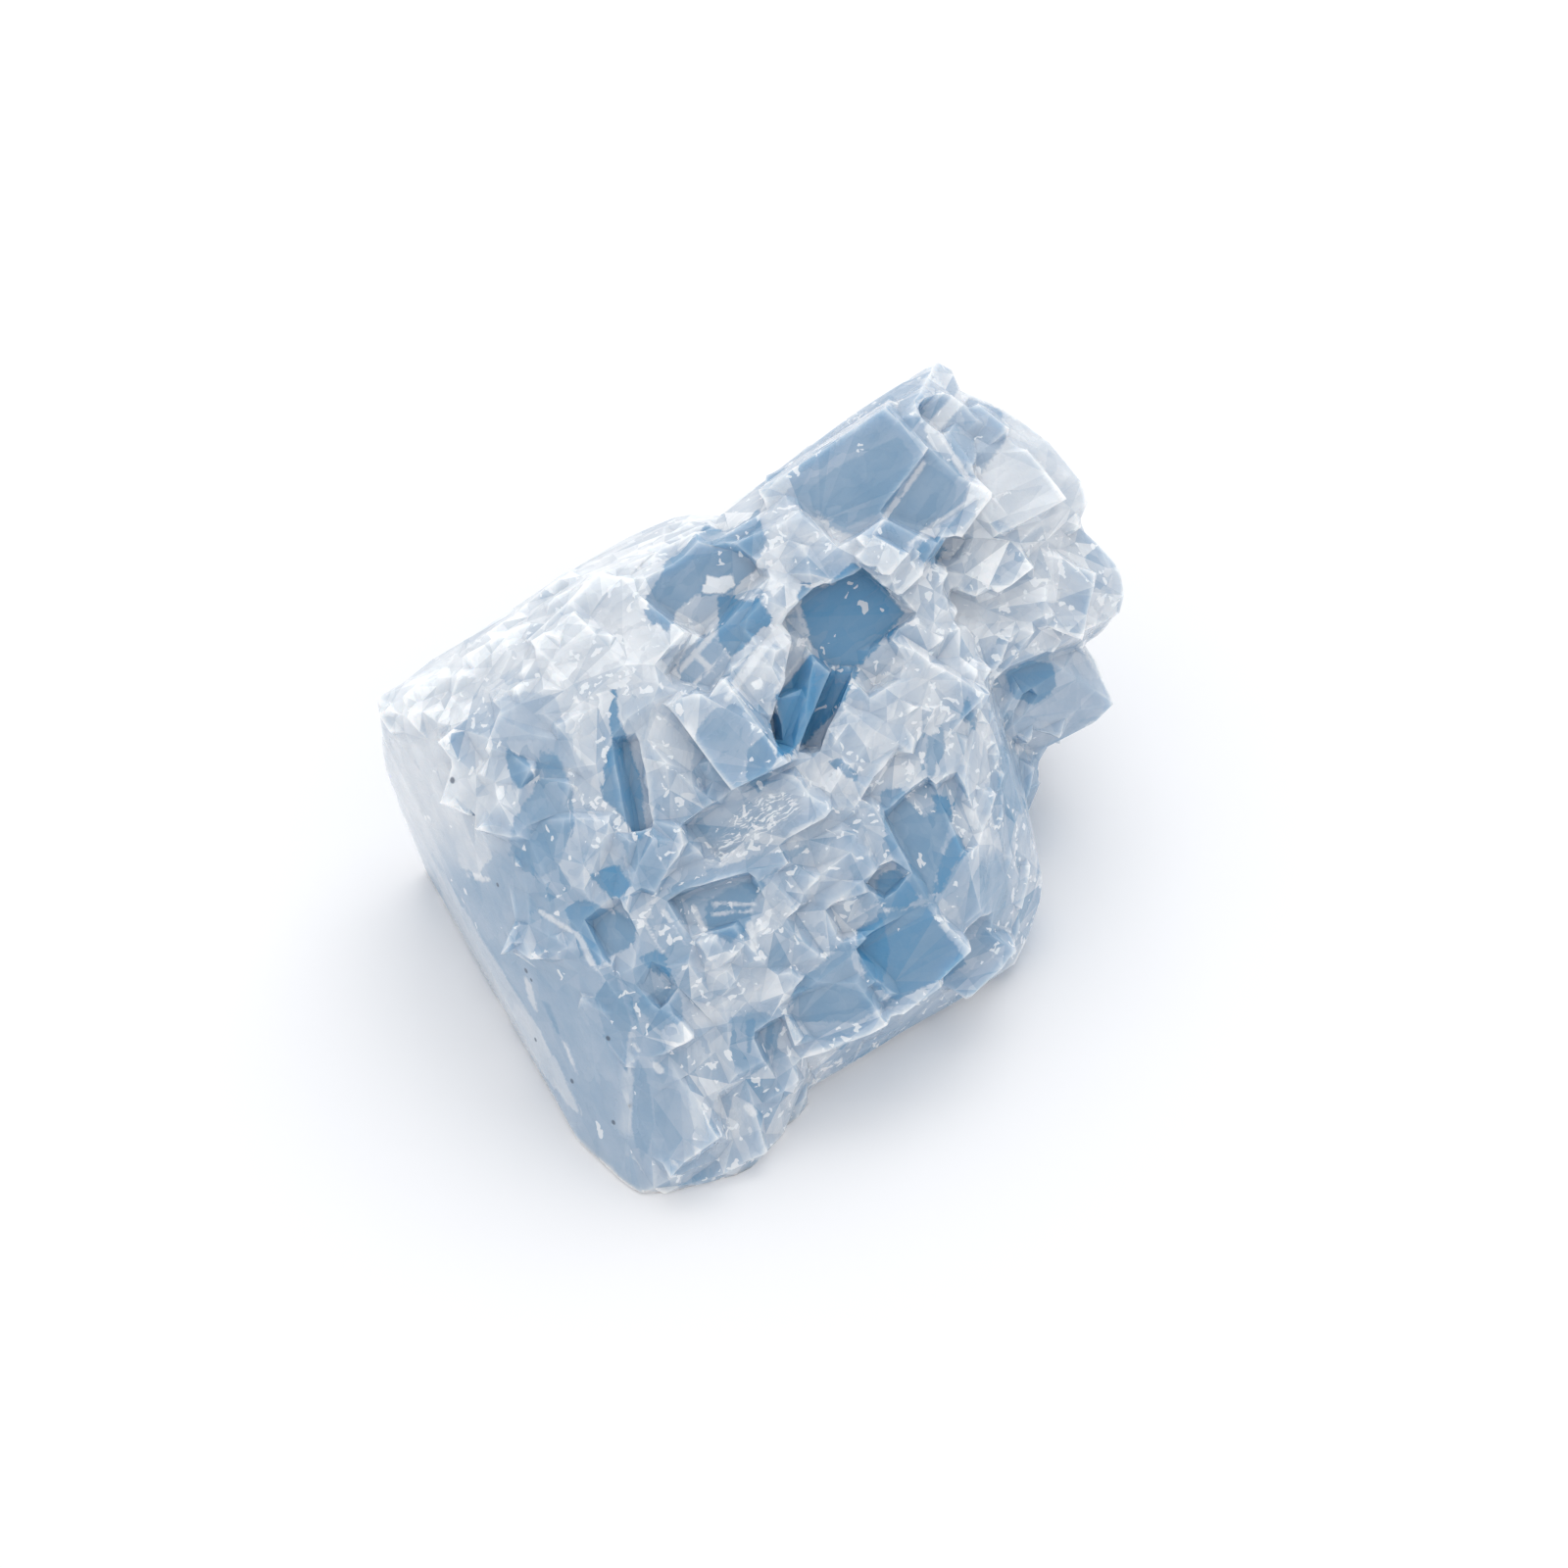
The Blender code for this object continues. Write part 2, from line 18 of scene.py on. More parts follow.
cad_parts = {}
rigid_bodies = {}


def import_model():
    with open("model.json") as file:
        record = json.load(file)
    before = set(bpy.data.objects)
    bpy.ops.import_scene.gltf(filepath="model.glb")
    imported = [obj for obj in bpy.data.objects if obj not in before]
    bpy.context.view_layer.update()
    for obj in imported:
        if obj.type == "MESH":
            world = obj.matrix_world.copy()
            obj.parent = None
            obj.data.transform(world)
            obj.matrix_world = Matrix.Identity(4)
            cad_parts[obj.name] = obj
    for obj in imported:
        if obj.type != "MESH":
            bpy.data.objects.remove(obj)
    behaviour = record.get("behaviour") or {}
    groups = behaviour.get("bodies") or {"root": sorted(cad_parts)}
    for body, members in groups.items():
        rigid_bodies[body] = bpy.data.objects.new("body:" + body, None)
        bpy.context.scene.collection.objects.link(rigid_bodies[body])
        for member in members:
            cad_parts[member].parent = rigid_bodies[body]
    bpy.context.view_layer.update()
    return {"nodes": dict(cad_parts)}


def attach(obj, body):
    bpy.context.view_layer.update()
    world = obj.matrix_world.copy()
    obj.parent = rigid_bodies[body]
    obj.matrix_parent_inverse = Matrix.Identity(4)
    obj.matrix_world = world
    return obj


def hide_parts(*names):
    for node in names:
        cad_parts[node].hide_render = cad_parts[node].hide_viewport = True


bl_info = {
    "name": "Blue calcite",
    "version": (1, 0, 0),
    "blender": (4, 5, 0),
    "location": "View3D > Sidebar > Calcite",
    "description": "Builds a rough piece of blue calcite with its windows, frost and studio stage",
    "category": "Add Mesh",
}

for leftover in list(bpy.data.objects):
    bpy.data.objects.remove(leftover)
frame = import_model()

MM = 0.001

# The broken face leans back by this much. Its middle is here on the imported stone, it is seen from
# this far in front, and the stone is turned by this much to its long axis.
FACE_RISE = math.radians(50)
FACE_MIDDLE = Vector((-4.493, -5.066, 20.0))
FACE_VIEW = 356.0
LONG_AXIS_TURN = math.radians(-29)
TURNED = Matrix.Rotation(LONG_AXIS_TURN, 3, "Z")
EDGE_LEAN = math.radians(12)
GRAIN_STRETCH = 0.45
SMOOTH_END_NORMAL = Vector((-0.84, -0.52, 0.15)).normalized()

# Edges that turn by more than this stay sharp.
SHARP_FROM = math.radians(9)

# A crumb's edges as shares of its length, at least and at most, and how far in radians it is off the
# lattice of its grain. One whose corner would stand out of the stone by more than CRUMB_CLEAR mm is
# left out.
CRUMB_SHAPES = ((1.0, 0.45, 0.4), (2.4, 1.1, 1.0))
CRUMB_JITTER = 0.16
CRUMB_CLEAR = 0.7

# How often the steps beside the smooth end are evened with what is round them.
CALM_ROUNDS = 8

# A facet's edges are halved this many times at most.
REFINE_ROUNDS = 4

# The sides that don't face the eye: how many grains and cells they have, the box that the cells are
# spread in, and how white and how blue these sides are.
HIDDEN_GRAINS = 24
HIDDEN_CELLS = 420
HIDDEN_BOX = ((-34, -27, -2), (34, 27, 44))
HIDDEN_FROST = 0.34
HIDDEN_TONE = 0.36

# How many faces share the tint of one block, and how far the patterns of two grains are apart.
BLOCK_FACES = 12
GRAIN_SHIFT = 7.3

# How far inside a shape a place counts that is nowhere near one, in mm.
FAR_OUTSIDE = -5.0

# How many shards, small shards and chips there are to a mm. A few chip cells are painted white as
# glints.
SHARDS = 0.62
SMALL_SHARDS = 1.3
CHIPS = 1.9

# How far red, green and blue light pass inside the stone, against each other.
GLOW_COLOUR = (0.75, 0.9, 1.0)
CALCITE_IOR = 1.5

# Where the two lights stand: turned from the broken face and raised in degrees, and how far in m.
KEY_PLACE = (168, 58, 0.6)
FILL_PLACE = (-60, 35, 0.6)

SEED = 11

# Clear panes on the broken face: how deep a blue each one shows, from 0 for white to 1 for the
# deepest, and its outline across and up the face.
PANES = {
    "high_pane": (0.58, [
        (-0.3, 23.6), (3, 27.2), (8.6, 31.6), (11.2, 29.6), (12.8, 27), (15.2, 25), (14.6, 22.6),
        (12, 21.4), (9.8, 19), (7.6, 19.8), (4.4, 21), (1.6, 22.2),
    ]),
    "far_pane": (0.50, [(13, 28.8), (15.2, 31.4), (17.6, 30.4), (18.2, 28.2), (16, 25.6), (13.8, 27.2)]),
    "pale_lump": (0.24, [
        (16, 25), (18.4, 28.6), (20.6, 29), (24, 25.4), (25, 22.8), (20, 20.4), (16, 22.6),
    ]),
    "star": (0.89, [
        (0.8, 15.4), (1.4, 16.4), (3.4, 16), (5.6, 18), (7, 17.2), (8.6, 15.6), (9.9, 14), (8.4, 12),
        (6.4, 9.8), (3.6, 9.4), (1.8, 11.6),
    ]),
    "star_low": (0.92, [
        (1.8, 11.4), (3.6, 9.6), (6, 9.6), (5.2, 7.6), (3.4, 5.6), (1.6, 3.4), (-0.4, 2.4),
        (-0.8, 5.2), (-0.4, 8), (2, 10.8),
    ]),
    "left_upper": (0.68, [
        (-6.4, 21.2), (-4.8, 20.6), (-2.2, 22.2), (-1.6, 20), (-2.4, 17.6), (-4.6, 15.8),
        (-7.2, 15.4), (-8.8, 14), (-9.4, 12), (-11.2, 13.8), (-11.4, 15), (-9, 18.8), (-7, 20.4),
    ]),
    "left_deep": (0.86, [
        (-5.2, 15.2), (-2.2, 15.2), (-1, 13.4), (-3, 11.2), (-4.6, 10), (-5.2, 12),
    ]),
    "left_step": (0.60, [(-7.4, 8), (-6.2, 7.4), (-4, 10.2), (-6.6, 12.6), (-8.2, 11), (-9.2, 9.2)]),
    "left_low": (0.58, [
        (-5.6, 6), (-4.4, 6.6), (-2.4, 5), (-2.8, 2.2), (-5.2, -2.6), (-6.4, -1), (-7.4, 1.4), (-7, 4.4),
    ]),
    "spike": (0.84, [
        (-13.9, 7.8), (-13.5, 5.4), (-12.6, 3.2), (-11.8, 0.4), (-11.4, -3.8), (-12, -4.6),
        (-13.6, -2.4), (-14.8, -1.2), (-15, 1.4), (-14, 3.4), (-14.4, 6.2),
    ]),
    "left_mass": (0.44, [
        (-24.8, 6.8), (-21, 7.6), (-18.8, 7.2), (-17.4, 3.4), (-15.6, 1), (-16, -1.6),
        (-17.4, 1), (-20, 3.6), (-23, 3.4),
    ]),
    "left_mass_deep": (0.66, [
        (-19.9, 2.8), (-18.4, 2.2), (-17.4, -0.4), (-17.2, -3.6), (-18.4, -7), (-20, -7.8),
        (-22.6, -5.8), (-22, -2.6), (-20.4, -0.6),
    ]),
    "left_grey": (0.60, [(-13, -4.8), (-11.2, -4.4), (-9.8, -7), (-10.2, -9.1), (-12.2, -8.8)]),
    "left_dark": (0.79, [
        (-18, -10), (-16.2, -9.2), (-14.2, -10.2), (-12.2, -11.4), (-12.4, -13.4), (-15.2, -14.8),
        (-17, -12.8),
    ]),
    "left_dark_low": (0.82, [
        (-11.8, -14.2), (-10.4, -13.4), (-9.4, -14.6), (-9.4, -15.8), (-10.8, -15.2),
    ]),
    "left_foot": (0.68, [(-12.2, -18), (-10.4, -16.8), (-8.4, -17), (-8.2, -19.4), (-10.2, -20.2)]),
    "foot_plate": (0.54, [
        (-12.6, -20.6), (-10.4, -21), (-8, -23.4), (-7, -30.6), (-10.6, -31), (-11.6, -27), (-12.4, -24),
    ]),
    "middle_bar": (0.64, [
        (-9.7, -8.5), (-5.1, -6.8), (-1.1, -5.6), (1.9, -5.1), (-0.7, -7.1), (-5.1, -9.1), (-9.1, -9.6),
    ]),
    "needle": (0.76, [
        (-6.4, -10), (-5.4, -9), (-3, -7.4), (-1.6, -8.2), (-2.8, -10.2), (-2.6, -11.6),
        (-4.4, -13), (-6, -12.4),
    ]),
    "foot_streak": (0.64, [
        (-4.4, -19), (-1.8, -18.6), (0, -19.4), (-0.8, -22), (-2.6, -23.8), (-4, -22.6),
    ]),
    "grey_star": (0.71, [
        (8, -0.7), (9.4, -0.4), (11.4, -2.6), (13.7, -2), (13.5, -4), (11.7, -9.8), (9.9, -7.7),
        (8.5, -4.7), (7.7, -2.3),
    ]),
    "grey_star_wedge": (0.86, [
        (13.4, -4.7), (14.4, -3.8), (14.9, -5.3), (13.7, -6.7), (12.2, -9.7), (12.6, -7),
    ]),
    "small_dark": (0.90, [(7.6, -7.6), (9.2, -7.1), (10.2, -8), (11.2, -9.4), (10, -10), (7.6, -10)]),
    "low_square": (0.80, [
        (5.7, -11.7), (7.9, -10.7), (11.5, -10), (14.9, -14.7), (12.9, -16), (9, -17.8),
        (6.8, -16), (5.9, -13.6),
    ]),
    "low_pane": (0.68, [
        (1, -16.8), (2.2, -15.2), (5.4, -12.4), (5.6, -14.8), (6.4, -16), (8.8, -18), (6, -19.6),
        (0.4, -19.4),
    ]),
    "frost_pane": (0.58, [(5.2, -6.6), (7.8, -5.6), (7.6, -10), (6.6, -10), (5.8, -8.2)]),
    "ragged_rhomb": (0.52, [
        (17.4, 9.6), (20, 10.8), (24.4, 11.2), (27, 6.4), (23, 3.4), (20.6, 2.6), (18.6, 5.4),
    ]),
    # The rhomb's low foot is deeper partly for its own blue and partly as painted shade, where it lies
    # under the rhomb near the floor.
    "ragged_foot": (0.66, [(17.6, 3), (20.8, 2.2), (21, 0), (19.4, -2.8), (17.6, -0.8)]),
    "bulge_streak": (0.56, [
        (14.2, -9.4), (16, -9.6), (18.2, -6.2), (18.6, -8), (16.8, -11.4), (14.8, -13),
    ]),
    "small_square": (0.80, [(10.8, 18.8), (12, 20.4), (13.4, 19.4), (12.2, 17.6)]),
    "right_chip": (0.66, [(11.5, 4), (12.8, 4.6), (13, 3), (12.4, 0.6), (11.6, -0.4), (11.4, 2.4)]),
    "right_chip_low": (0.84, [(12.2, -1), (13.6, -0.8), (13.8, -2.8), (12.6, -2.6)]),
    "right_chip_high": (0.68, [(14.4, 5.4), (15, 7), (15.8, 5.4), (15.6, 4.6)]),
    "dark_chip": (0.88, [(-16.4, -7.4), (-13.6, -6.8), (-12.8, -8.4), (-14, -9.6)]),
}

# Shapes that show inside the panes, deeper or paler, laid out as the panes are; a few pale ones are
# painted glints.
MARKS = {
    "high_deep": (0.68, [
        (4.6, 26.2), (9.4, 28.4), (10.8, 26.6), (8, 22.4), (5, 21), (2.4, 22.4), (2, 24),
    ]),
    "high_dark": (0.66, [
        (11.6, 26.2), (14.2, 24.4), (13.8, 22.4), (11.2, 20.6), (9.6, 19), (7.4, 20.2), (8.6, 22.4),
        (10.4, 24.8),
    ]),
    "deep_bar_left": (1.0, [
        (-0.7, 7.6), (0.6, 8.4), (2.2, 10.8), (2.6, 8.6), (2.4, 5.2), (0.6, 2.4), (-0.6, 2.2),
        (-0.5, 5),
    ]),
    "deep_bar_right": (1.0, [(3.2, 5), (5, 7), (5.2, 8.2), (4.2, 8.6), (3.4, 7.2)]),
    "left_low_deep": (0.74, [(-3, 2.8), (-1.4, 4.2), (-0.6, 2), (-2, -1), (-3.2, 0.6)]),
    "left_mass_chip": (0.76, [(-22.6, 2.8), (-21.2, 2.2), (-20.4, 0.4), (-21.6, -0.4), (-22.4, 0.6)]),
    "foot_dark": (0.80, [(-3.0, -19.4), (-2.4, -19.2), (-2.6, -22), (-3.2, -22.4)]),
    "foot_dark_right": (0.80, [(-1.4, -19.6), (-0.8, -19.4), (-1.1, -21.8), (-1.6, -21.6)]),
    "low_square_deep": (0.96, [
        (5.9, -11.9), (8, -11), (8.6, -13.6), (8.2, -16.4), (7, -15.8), (6.1, -13.6),
    ]),
    "rhomb_deep": (0.82, [(18.2, 9), (19.8, 10), (21.8, 9.8), (22.4, 8), (20.4, 6.4), (18.8, 7)]),
    # Painted glints: three small white marks where tiny facets catch the light.
    "painted_glint_chip": (0.12, [
        (-6.4, 17.2), (-5.2, 16.9), (-4.2, 17.1), (-4.1, 16.3), (-4.9, 15.7), (-6.6, 15.7),
    ]),
    "painted_glint_tip": (0.16, [(-1.4, 16.2), (-0.4, 16.4), (-0.8, 15.3)]),
    "painted_glint_wedge": (0.08, [(-2.9, 8.3), (-1.9, 8.7), (-1.8, 7.9), (-2.5, 7.8)]),
    "end_wedge": (0.26, [(-18.3, -20.7), (-17.7, -21.2), (-16.8, -23.9), (-17.5, -22.6)]),
    "end_flake": (0.30, [(-21.2, -15.8), (-20.7, -16.4), (-20.2, -18.6), (-20.8, -17.6)]),
    "end_lobe": (0.30, [(-26.8, -4.6), (-24.6, -4), (-23.9, -6), (-25, -7.6), (-26.4, -6.8)]),
    "end_sliver": (0.70, [(-19.9, -17.6), (-19.2, -18), (-18.2, -20.6), (-18.6, -20.4)]),
    "end_facet": (0.66, [(-15.6, -17.4), (-13.8, -16), (-12.6, -19.6), (-12.8, -23.6), (-14.6, -21)]),
    "end_low_facet": (0.64, [(-12.2, -22), (-11.2, -23.6), (-10.6, -28), (-11.6, -31.6), (-12.4, -28)]),
    "end_edge_strip": (0.34, [
        (-29.8, -3.6), (-29.2, -5), (-24, -13.8), (-19.4, -21), (-16.6, -27), (-17.6, -26.4),
        (-21.6, -21), (-26.8, -12),
    ]),
    "sliver": (0.72, [(3.8, 1.9), (4.6, 2), (6, 0.8), (6, 0.2), (5, 0.4)]),
}

# White fracture lines: how wide each one is, and its points across and up the face.
VEINS = [
    (0.30, [(11.4, 26.2), (7.3, 20.4)]),
    (0.30, [(14.8, 23), (10.2, 19.6)]),
    (0.90, [(12, 29), (14.8, 32)]),
    (0.40, [(12.8, 28.4), (15, 25)]),
    (0.80, [(-4.6, 7), (-0.4, 12.8)]),
    (0.50, [(0.8, 15.8), (2.2, 11), (-0.6, 7.6)]),
    (0.80, [(-0.3, 11.9), (0.3, 11.2)]),
    (0.22, [(-7.4, 8), (-4.4, 10.8)]),
    (0.22, [(-8.6, 9.2), (-5.8, 12.2)]),
    (0.22, [(-5.2, 8.6), (-7.8, 11.2)]),
    (0.30, [(-5.8, -9.8), (-2.4, -9.8)]),
    (0.25, [(-5.8, -10.6), (-2.6, -10.4)]),
    (0.30, [(-7.4, -10), (-6.2, -12.8)]),
    (0.35, [(-9.8, -10.4), (-8, -13.2)]),
    (0.35, [(-11.8, -10.6), (-10, -13.6)]),
    (0.70, [(-2.8, -11.5), (-2.4, -13.4)]),
    (0.35, [(-20, -10.4), (-16.8, -12.4), (-15.4, -15.2)]),
    (0.35, [(-25.8, -7.4), (-24.2, -7.8)]),
    (0.40, [(-12.3, -21.3), (-11.9, -21.8)]),
    (0.40, [(-10.5, -23), (-10.1, -23.4)]),
    (0.40, [(-3, -26.4), (-2.5, -26.9)]),
    (0.40, [(-9.1, -30.8), (-8.7, -31.2)]),
]

# Frosted ridges: how far the frost spreads from each one, how white it is, and its line.
FROST = {
    "rim": (2.6, 1.2, [(-32, 6.4), (-26, 10.6), (-18, 15.8), (-8, 21), (-3, 23)]),
    "high_rim": (1.6, 0.6, [(-3, 23.4), (4, 29.2), (11, 33.6), (14, 32)]),
    "left_cluster": (2.6, 0.65, [(-29, 6.4), (-26, 8.4), (-19.2, 8.2), (-14.8, 4.6)]),
    "under_rim": (2.8, 1.0, [(-22, 10), (-14, 13.4), (-11.8, 10)]),
    "spike_side": (2.0, 0.7, [(-10.4, 8), (-9.8, 2), (-9.6, -3)]),
    "window_divide": (1.4, 0.9, [(-0.8, 20.4), (-0.4, 14), (-0.6, 12)]),
    "step_divide": (1.3, 0.8, [(-9, 8), (-7.4, 4.6), (-3.4, 7.4), (-1.4, 9)]),
    "under_high": (2.0, 0.9, [(-1, 21.6), (4, 19.4), (8, 18.6)]),
    "y_ridge": (2.4, 0.8, [(8, 19), (11.2, 16.2), (14.4, 13.0), (15.6, 7.6)]),
    "centre_frost": (3.2, 0.85, [(2.6, -0.6), (8, 4.8), (12.6, 9.0)]),
    "glitter": (2.4, 0.55, [(-5.6, -5.6), (-2, -2.6), (2.4, 0.6)]),
    "under_needle": (1.7, 0.45, [(-9, -15.4), (-3.2, -13.8), (1.6, -9.6), (2.4, -6)]),
    "middle_frost": (2.0, 0.8, [(2.0, -8.8), (4.6, -5), (4.4, -11)]),
    "right_edge": (1.7, 0.8, [(16, 8), (16.6, 1.8), (15.4, -2.4), (16.6, -5)]),
    "low_edge": (1.6, 0.9, [(-8.8, -20.6), (-4, -17.6), (0, -16.6)]),
    "foot_frost": (2.4, 0.5, [(-6.6, -22), (-4.4, -27), (-5.6, -31)]),
    "foot_line": (1.2, 0.8, [(-13.6, -18), (-12.6, -22), (-12.8, -28)]),
    "low_facets": (1.8, 0.6, [(2, -22.4), (6, -21), (12, -17.6)]),
    "pale_chip": (1.6, 0.8, [(-16.4, -4), (-14, -5.4), (-15.4, -6.8)]),
    "end_corner": (2.2, 1.2, [(-33, 7), (-31, 5.6), (-29, 6.4)]),
    "lump_edge": (1.4, 0.5, [(16, 24), (15.4, 27), (18, 30.8)]),
    "middle_lump": (2.6, 0.45, [(20, 19), (23, 14.6), (25.6, 13.4)]),
    "bulge": (2.0, 0.15, [(17, -2.6), (19.6, -6), (19.4, -10)]),
}

# Broad tones between the panes: a place across and up the face, how far it reaches, how blue it is.
TONES = {
    "smooth_end_high": (-29, 1, 5, 0.2),
    # smooth_end and smooth_end_low are deeper partly for the end's own blue and partly as painted shade,
    # since that end faces away from the light.
    "smooth_end": (-22, -14, 7, 0.58),
    "smooth_end_low": (-14, -28, 6, 0.55),
    "rim": (-20, 13, 5, 0.26),
    "left_mass": (-21, 3, 5, 0.38),
    "left_low": (-13, -10, 5, 0.54),
    "middle": (-3, 0, 5, 0.5),
    "centre": (7, 4, 5, 0.44),
    "high": (5, 26, 6, 0.52),
    "high_lump": (21, 25, 5, 0.28),
    "middle_lump": (24, 16, 5, 0.34),
    "ragged": (22, 5, 4, 0.55),
    "bulge": (17, -7, 4, 0.56),
    "low_middle": (1, -12, 5, 0.5),
    "low_right": (11, -17, 5, 0.52),
    "foot": (-4, -25, 5, 0.5),
}

# The lattice of each grain on the broken face: its place across and up, and its turn, its tip up and
# its tip to the right in degrees.
GRAINS = {
    "high": (6, 26, 34, 4, -3),
    "high_right": (14, 23, 52, 0, 6),
    "high_lump": (20, 25, 28, 8, 14),
    "middle_lump": (24, 16, -20, -4, 22),
    "left_window": (-6, 17, 46, -6, 10),
    "left_step": (-6, 9, 56, 6, -8),
    "star": (5, 13, 36, 0, 5),
    "deep_bar": (1, 6, 74, 0, 10),
    "y_ridge": (12, 16, 64, 10, 0),
    "centre": (8, 4, 50, -6, 4),
    "rim": (-16, 14, 30, 12, 0),
    "left_mass": (-22, 4, 70, 6, -8),
    "spike": (-13, 1, 98, 0, -12),
    "left_low": (-19, -4, 112, 4, -8),
    "left_dark": (-14, -12, 118, 6, -10),
    "needle": (-7, -11, 24, 8, 0),
    "glitter": (-2, -4, 30, -8, -4),
    "under_needle": (-2, -14, 50, 0, 0),
    "middle_frost": (4, -7, 60, 6, 6),
    "grey_star": (11, -4, 116, 4, 8),
    "right_edge": (16, 1, 100, 0, 14),
    "bulge": (18, -8, 60, -6, 18),
    "low_square": (11, -14, 32, -6, 4),
    "low_pane": (4, -18, 22, -16, 2),
    "foot": (-8, -26, 116, -12, -8),
    "foot_right": (-2, -23, 106, -14, 8),
    "ragged": (22, 6, -16, 0, 10),
}

# Dark grains in the smooth end: across, up and how wide.
SPECKS = [
    (-27.2, 0.3, 0.55), (-25.3, -2.6, 0.45), (-23.5, -8.3, 0.4), (-21.1, -15.2, 0.5),
    (-20.7, -16.0, 0.35), (-20.2, -21, 0.4), (-17.3, -24.3, 0.45), (-14.3, -20.8, 0.45),
    (-13.9, -27.7, 0.45),
]

# The crushed band below the middle, bright with strokes.
GLITTER = [
    (-6.4, -6.4), (-4.8, -4.2), (-2.8, -1.2), (0.6, -0.6), (1.4, -2.2), (-0.6, -3.4), (-2.6, -4.6),
    (-5.2, -6.6),
]

# Where the stone is almost smooth beside its cleaved end.
CALM = [
    (-34, 2), (-28, 2), (-24, -1), (-22, -6), (-18, -9), (-16, -15), (-12.6, -20), (-11, -24),
    (-7, -27), (-8, -31), (-12, -36), (-34, -36),
]


def count_setting(name, description, default, **limits):
    return bpy.props.IntProperty(name=name, description=description, default=default, **limits)


def number_setting(name, description, default, **limits):
    return bpy.props.FloatProperty(name=name, description=description, default=default, **limits)


def colour_setting(name, description, default):
    return bpy.props.FloatVectorProperty(
        name=name, description=description, subtype="COLOR", size=3, default=default, min=0, max=1)


class CalciteSizes(bpy.types.PropertyGroup):
    """The sizes of the stone's crumbs and facets."""

    crumbs: count_setting("Crumbs", "Small cleavage rhombs on the broken faces", 380, min=0)
    crumb_least: number_setting("Smallest crumb", "Shortest edge of a crumb in mm", 1.2, min=0.1)
    crumb_most: number_setting("Largest crumb", "Longest edge of a crumb in mm", 3.2, min=0.1)
    crumb_rise: number_setting("Crumb rise", "Most that a crumb stands out in mm", 0.26, min=0)
    grain: number_setting(
        "Surface grain", "Distance between the vertices of the fused stone in mm", 0.3, min=0.1)
    facets: count_setting("Facets", "Flat broken facets on the whole stone", 7000, min=1000)
    unevenness: number_setting(
        "Unevenness", "How far the facets' corners stand in and out in mm", 0.10, min=0)
    front_grain: number_setting("Front grain", "Longest edge on the broken face in mm", 0.42, min=0.2)
    back_grain: number_setting("Back grain", "Longest edge on the other sides in mm", 1.1, min=0.2)
    filling: count_setting("Filling", "How far the crevices between crumbs are filled", 6, min=0)
    evening: count_setting("Evening", "How far the small relief is taken out", 6, min=0)


class CalciteLook(bpy.types.PropertyGroup):
    """The colours and finish of the stone."""

    frost: colour_setting("Frost", "Crushed white calcite", (0.90, 0.92, 0.94))
    cloudy: colour_setting("Cloudy", "Calcite full of small fractures", (0.62, 0.66, 0.71))
    pale: colour_setting("Pale blue", "Calcite seen to a mm or two", (0.385, 0.475, 0.585))
    middle: colour_setting("Middle blue", "Calcite seen to a few mm", (0.20, 0.335, 0.48))
    deep: colour_setting("Deep blue", "The clearest calcite", (0.088, 0.275, 0.47))
    speck: colour_setting("Speck", "Dark grains in the smooth end", (0.08, 0.11, 0.16))
    glow: number_setting("Glow", "Share of light that passes through the surface", 0.7, min=0, max=1)
    glow_reach: number_setting(
        "Glow reach", "How far light passes inside the stone", 0.0025, subtype="DISTANCE",
        unit="LENGTH", min=0)
    pane_shine: number_setting("Pane roughness", "Roughness of the clear panes", 0.22, min=0, max=1)
    frost_shine: number_setting("Frost roughness", "Roughness of the frosted ridges", 0.5, min=0, max=1)


class CalciteStage(bpy.types.PropertyGroup):
    """The floor, the lights and the camera."""

    floor_width: number_setting("Floor width", "Width of the floor", 6.0, unit="LENGTH", min=0.1)
    floor_colour: colour_setting("Floor", "Colour of the floor", (0.895, 0.895, 0.91))
    sky: number_setting("Sky", "Strength of the light from all round", 0.95, min=0)
    key: number_setting("Key light", "Power of the large soft light", 1.15, unit="POWER", min=0)
    fill: number_setting(
        "Fill light", "Power of the light from the front left", 0.15, unit="POWER", min=0)
    lens: number_setting("Lens", "Focal length of the camera in mm", 100.0, min=1)


def turned_to_face(points):
    """Points of the stone, in mm, from the broken face's middle and along its long axis."""
    return (points - np.array(FACE_MIDDLE)) @ np.array(TURNED)


def out_of_face(points):
    """How far points of the stone, in mm, stand out of the broken face's plane."""
    flat = turned_to_face(points)
    return flat[:, 2] * math.sin(FACE_RISE) - flat[:, 1] * math.cos(FACE_RISE)


def seen(points):
    """Where points of the stone, in mm, show across and up the broken face."""
    flat = turned_to_face(points)
    up = flat[:, 1] * math.sin(FACE_RISE) + flat[:, 2] * math.cos(FACE_RISE)
    near = 1 - out_of_face(points) / FACE_VIEW
    return np.stack((flat[:, 0] / near, up / near), axis=1)


def direction(turn, elevation):
    """A direction from the stone, turned from straight in front of the broken face and raised."""
    azimuth = LONG_AXIS_TURN + turn
    return Vector((
        math.sin(azimuth) * math.cos(elevation),
        -math.cos(azimuth) * math.cos(elevation),
        math.sin(elevation),
    ))


def eye_place():
    """Where the broken face is seen from, in mm."""
    return FACE_MIDDLE + direction(0, FACE_RISE) * FACE_VIEW


def facing_eye(points, normals):
    """How squarely each point faces the eye, from 1 to -1."""
    towards = np.array(eye_place()) - points
    towards /= np.linalg.norm(towards, axis=1, keepdims=True)
    return (towards * normals).sum(axis=1)


def line_distance(places, line):
    """How far each place is from a line of points."""
    nearest = np.full(len(places), np.inf)
    corners = np.array(line, dtype=float)
    for start, end in zip(corners, corners[1:]):
        leg = end - start
        share = np.clip((places - start) @ leg / (leg @ leg), 0, 1)
        gap = np.linalg.norm(places - start - share[:, None] * leg, axis=1)
        nearest = np.minimum(nearest, gap)
    return nearest


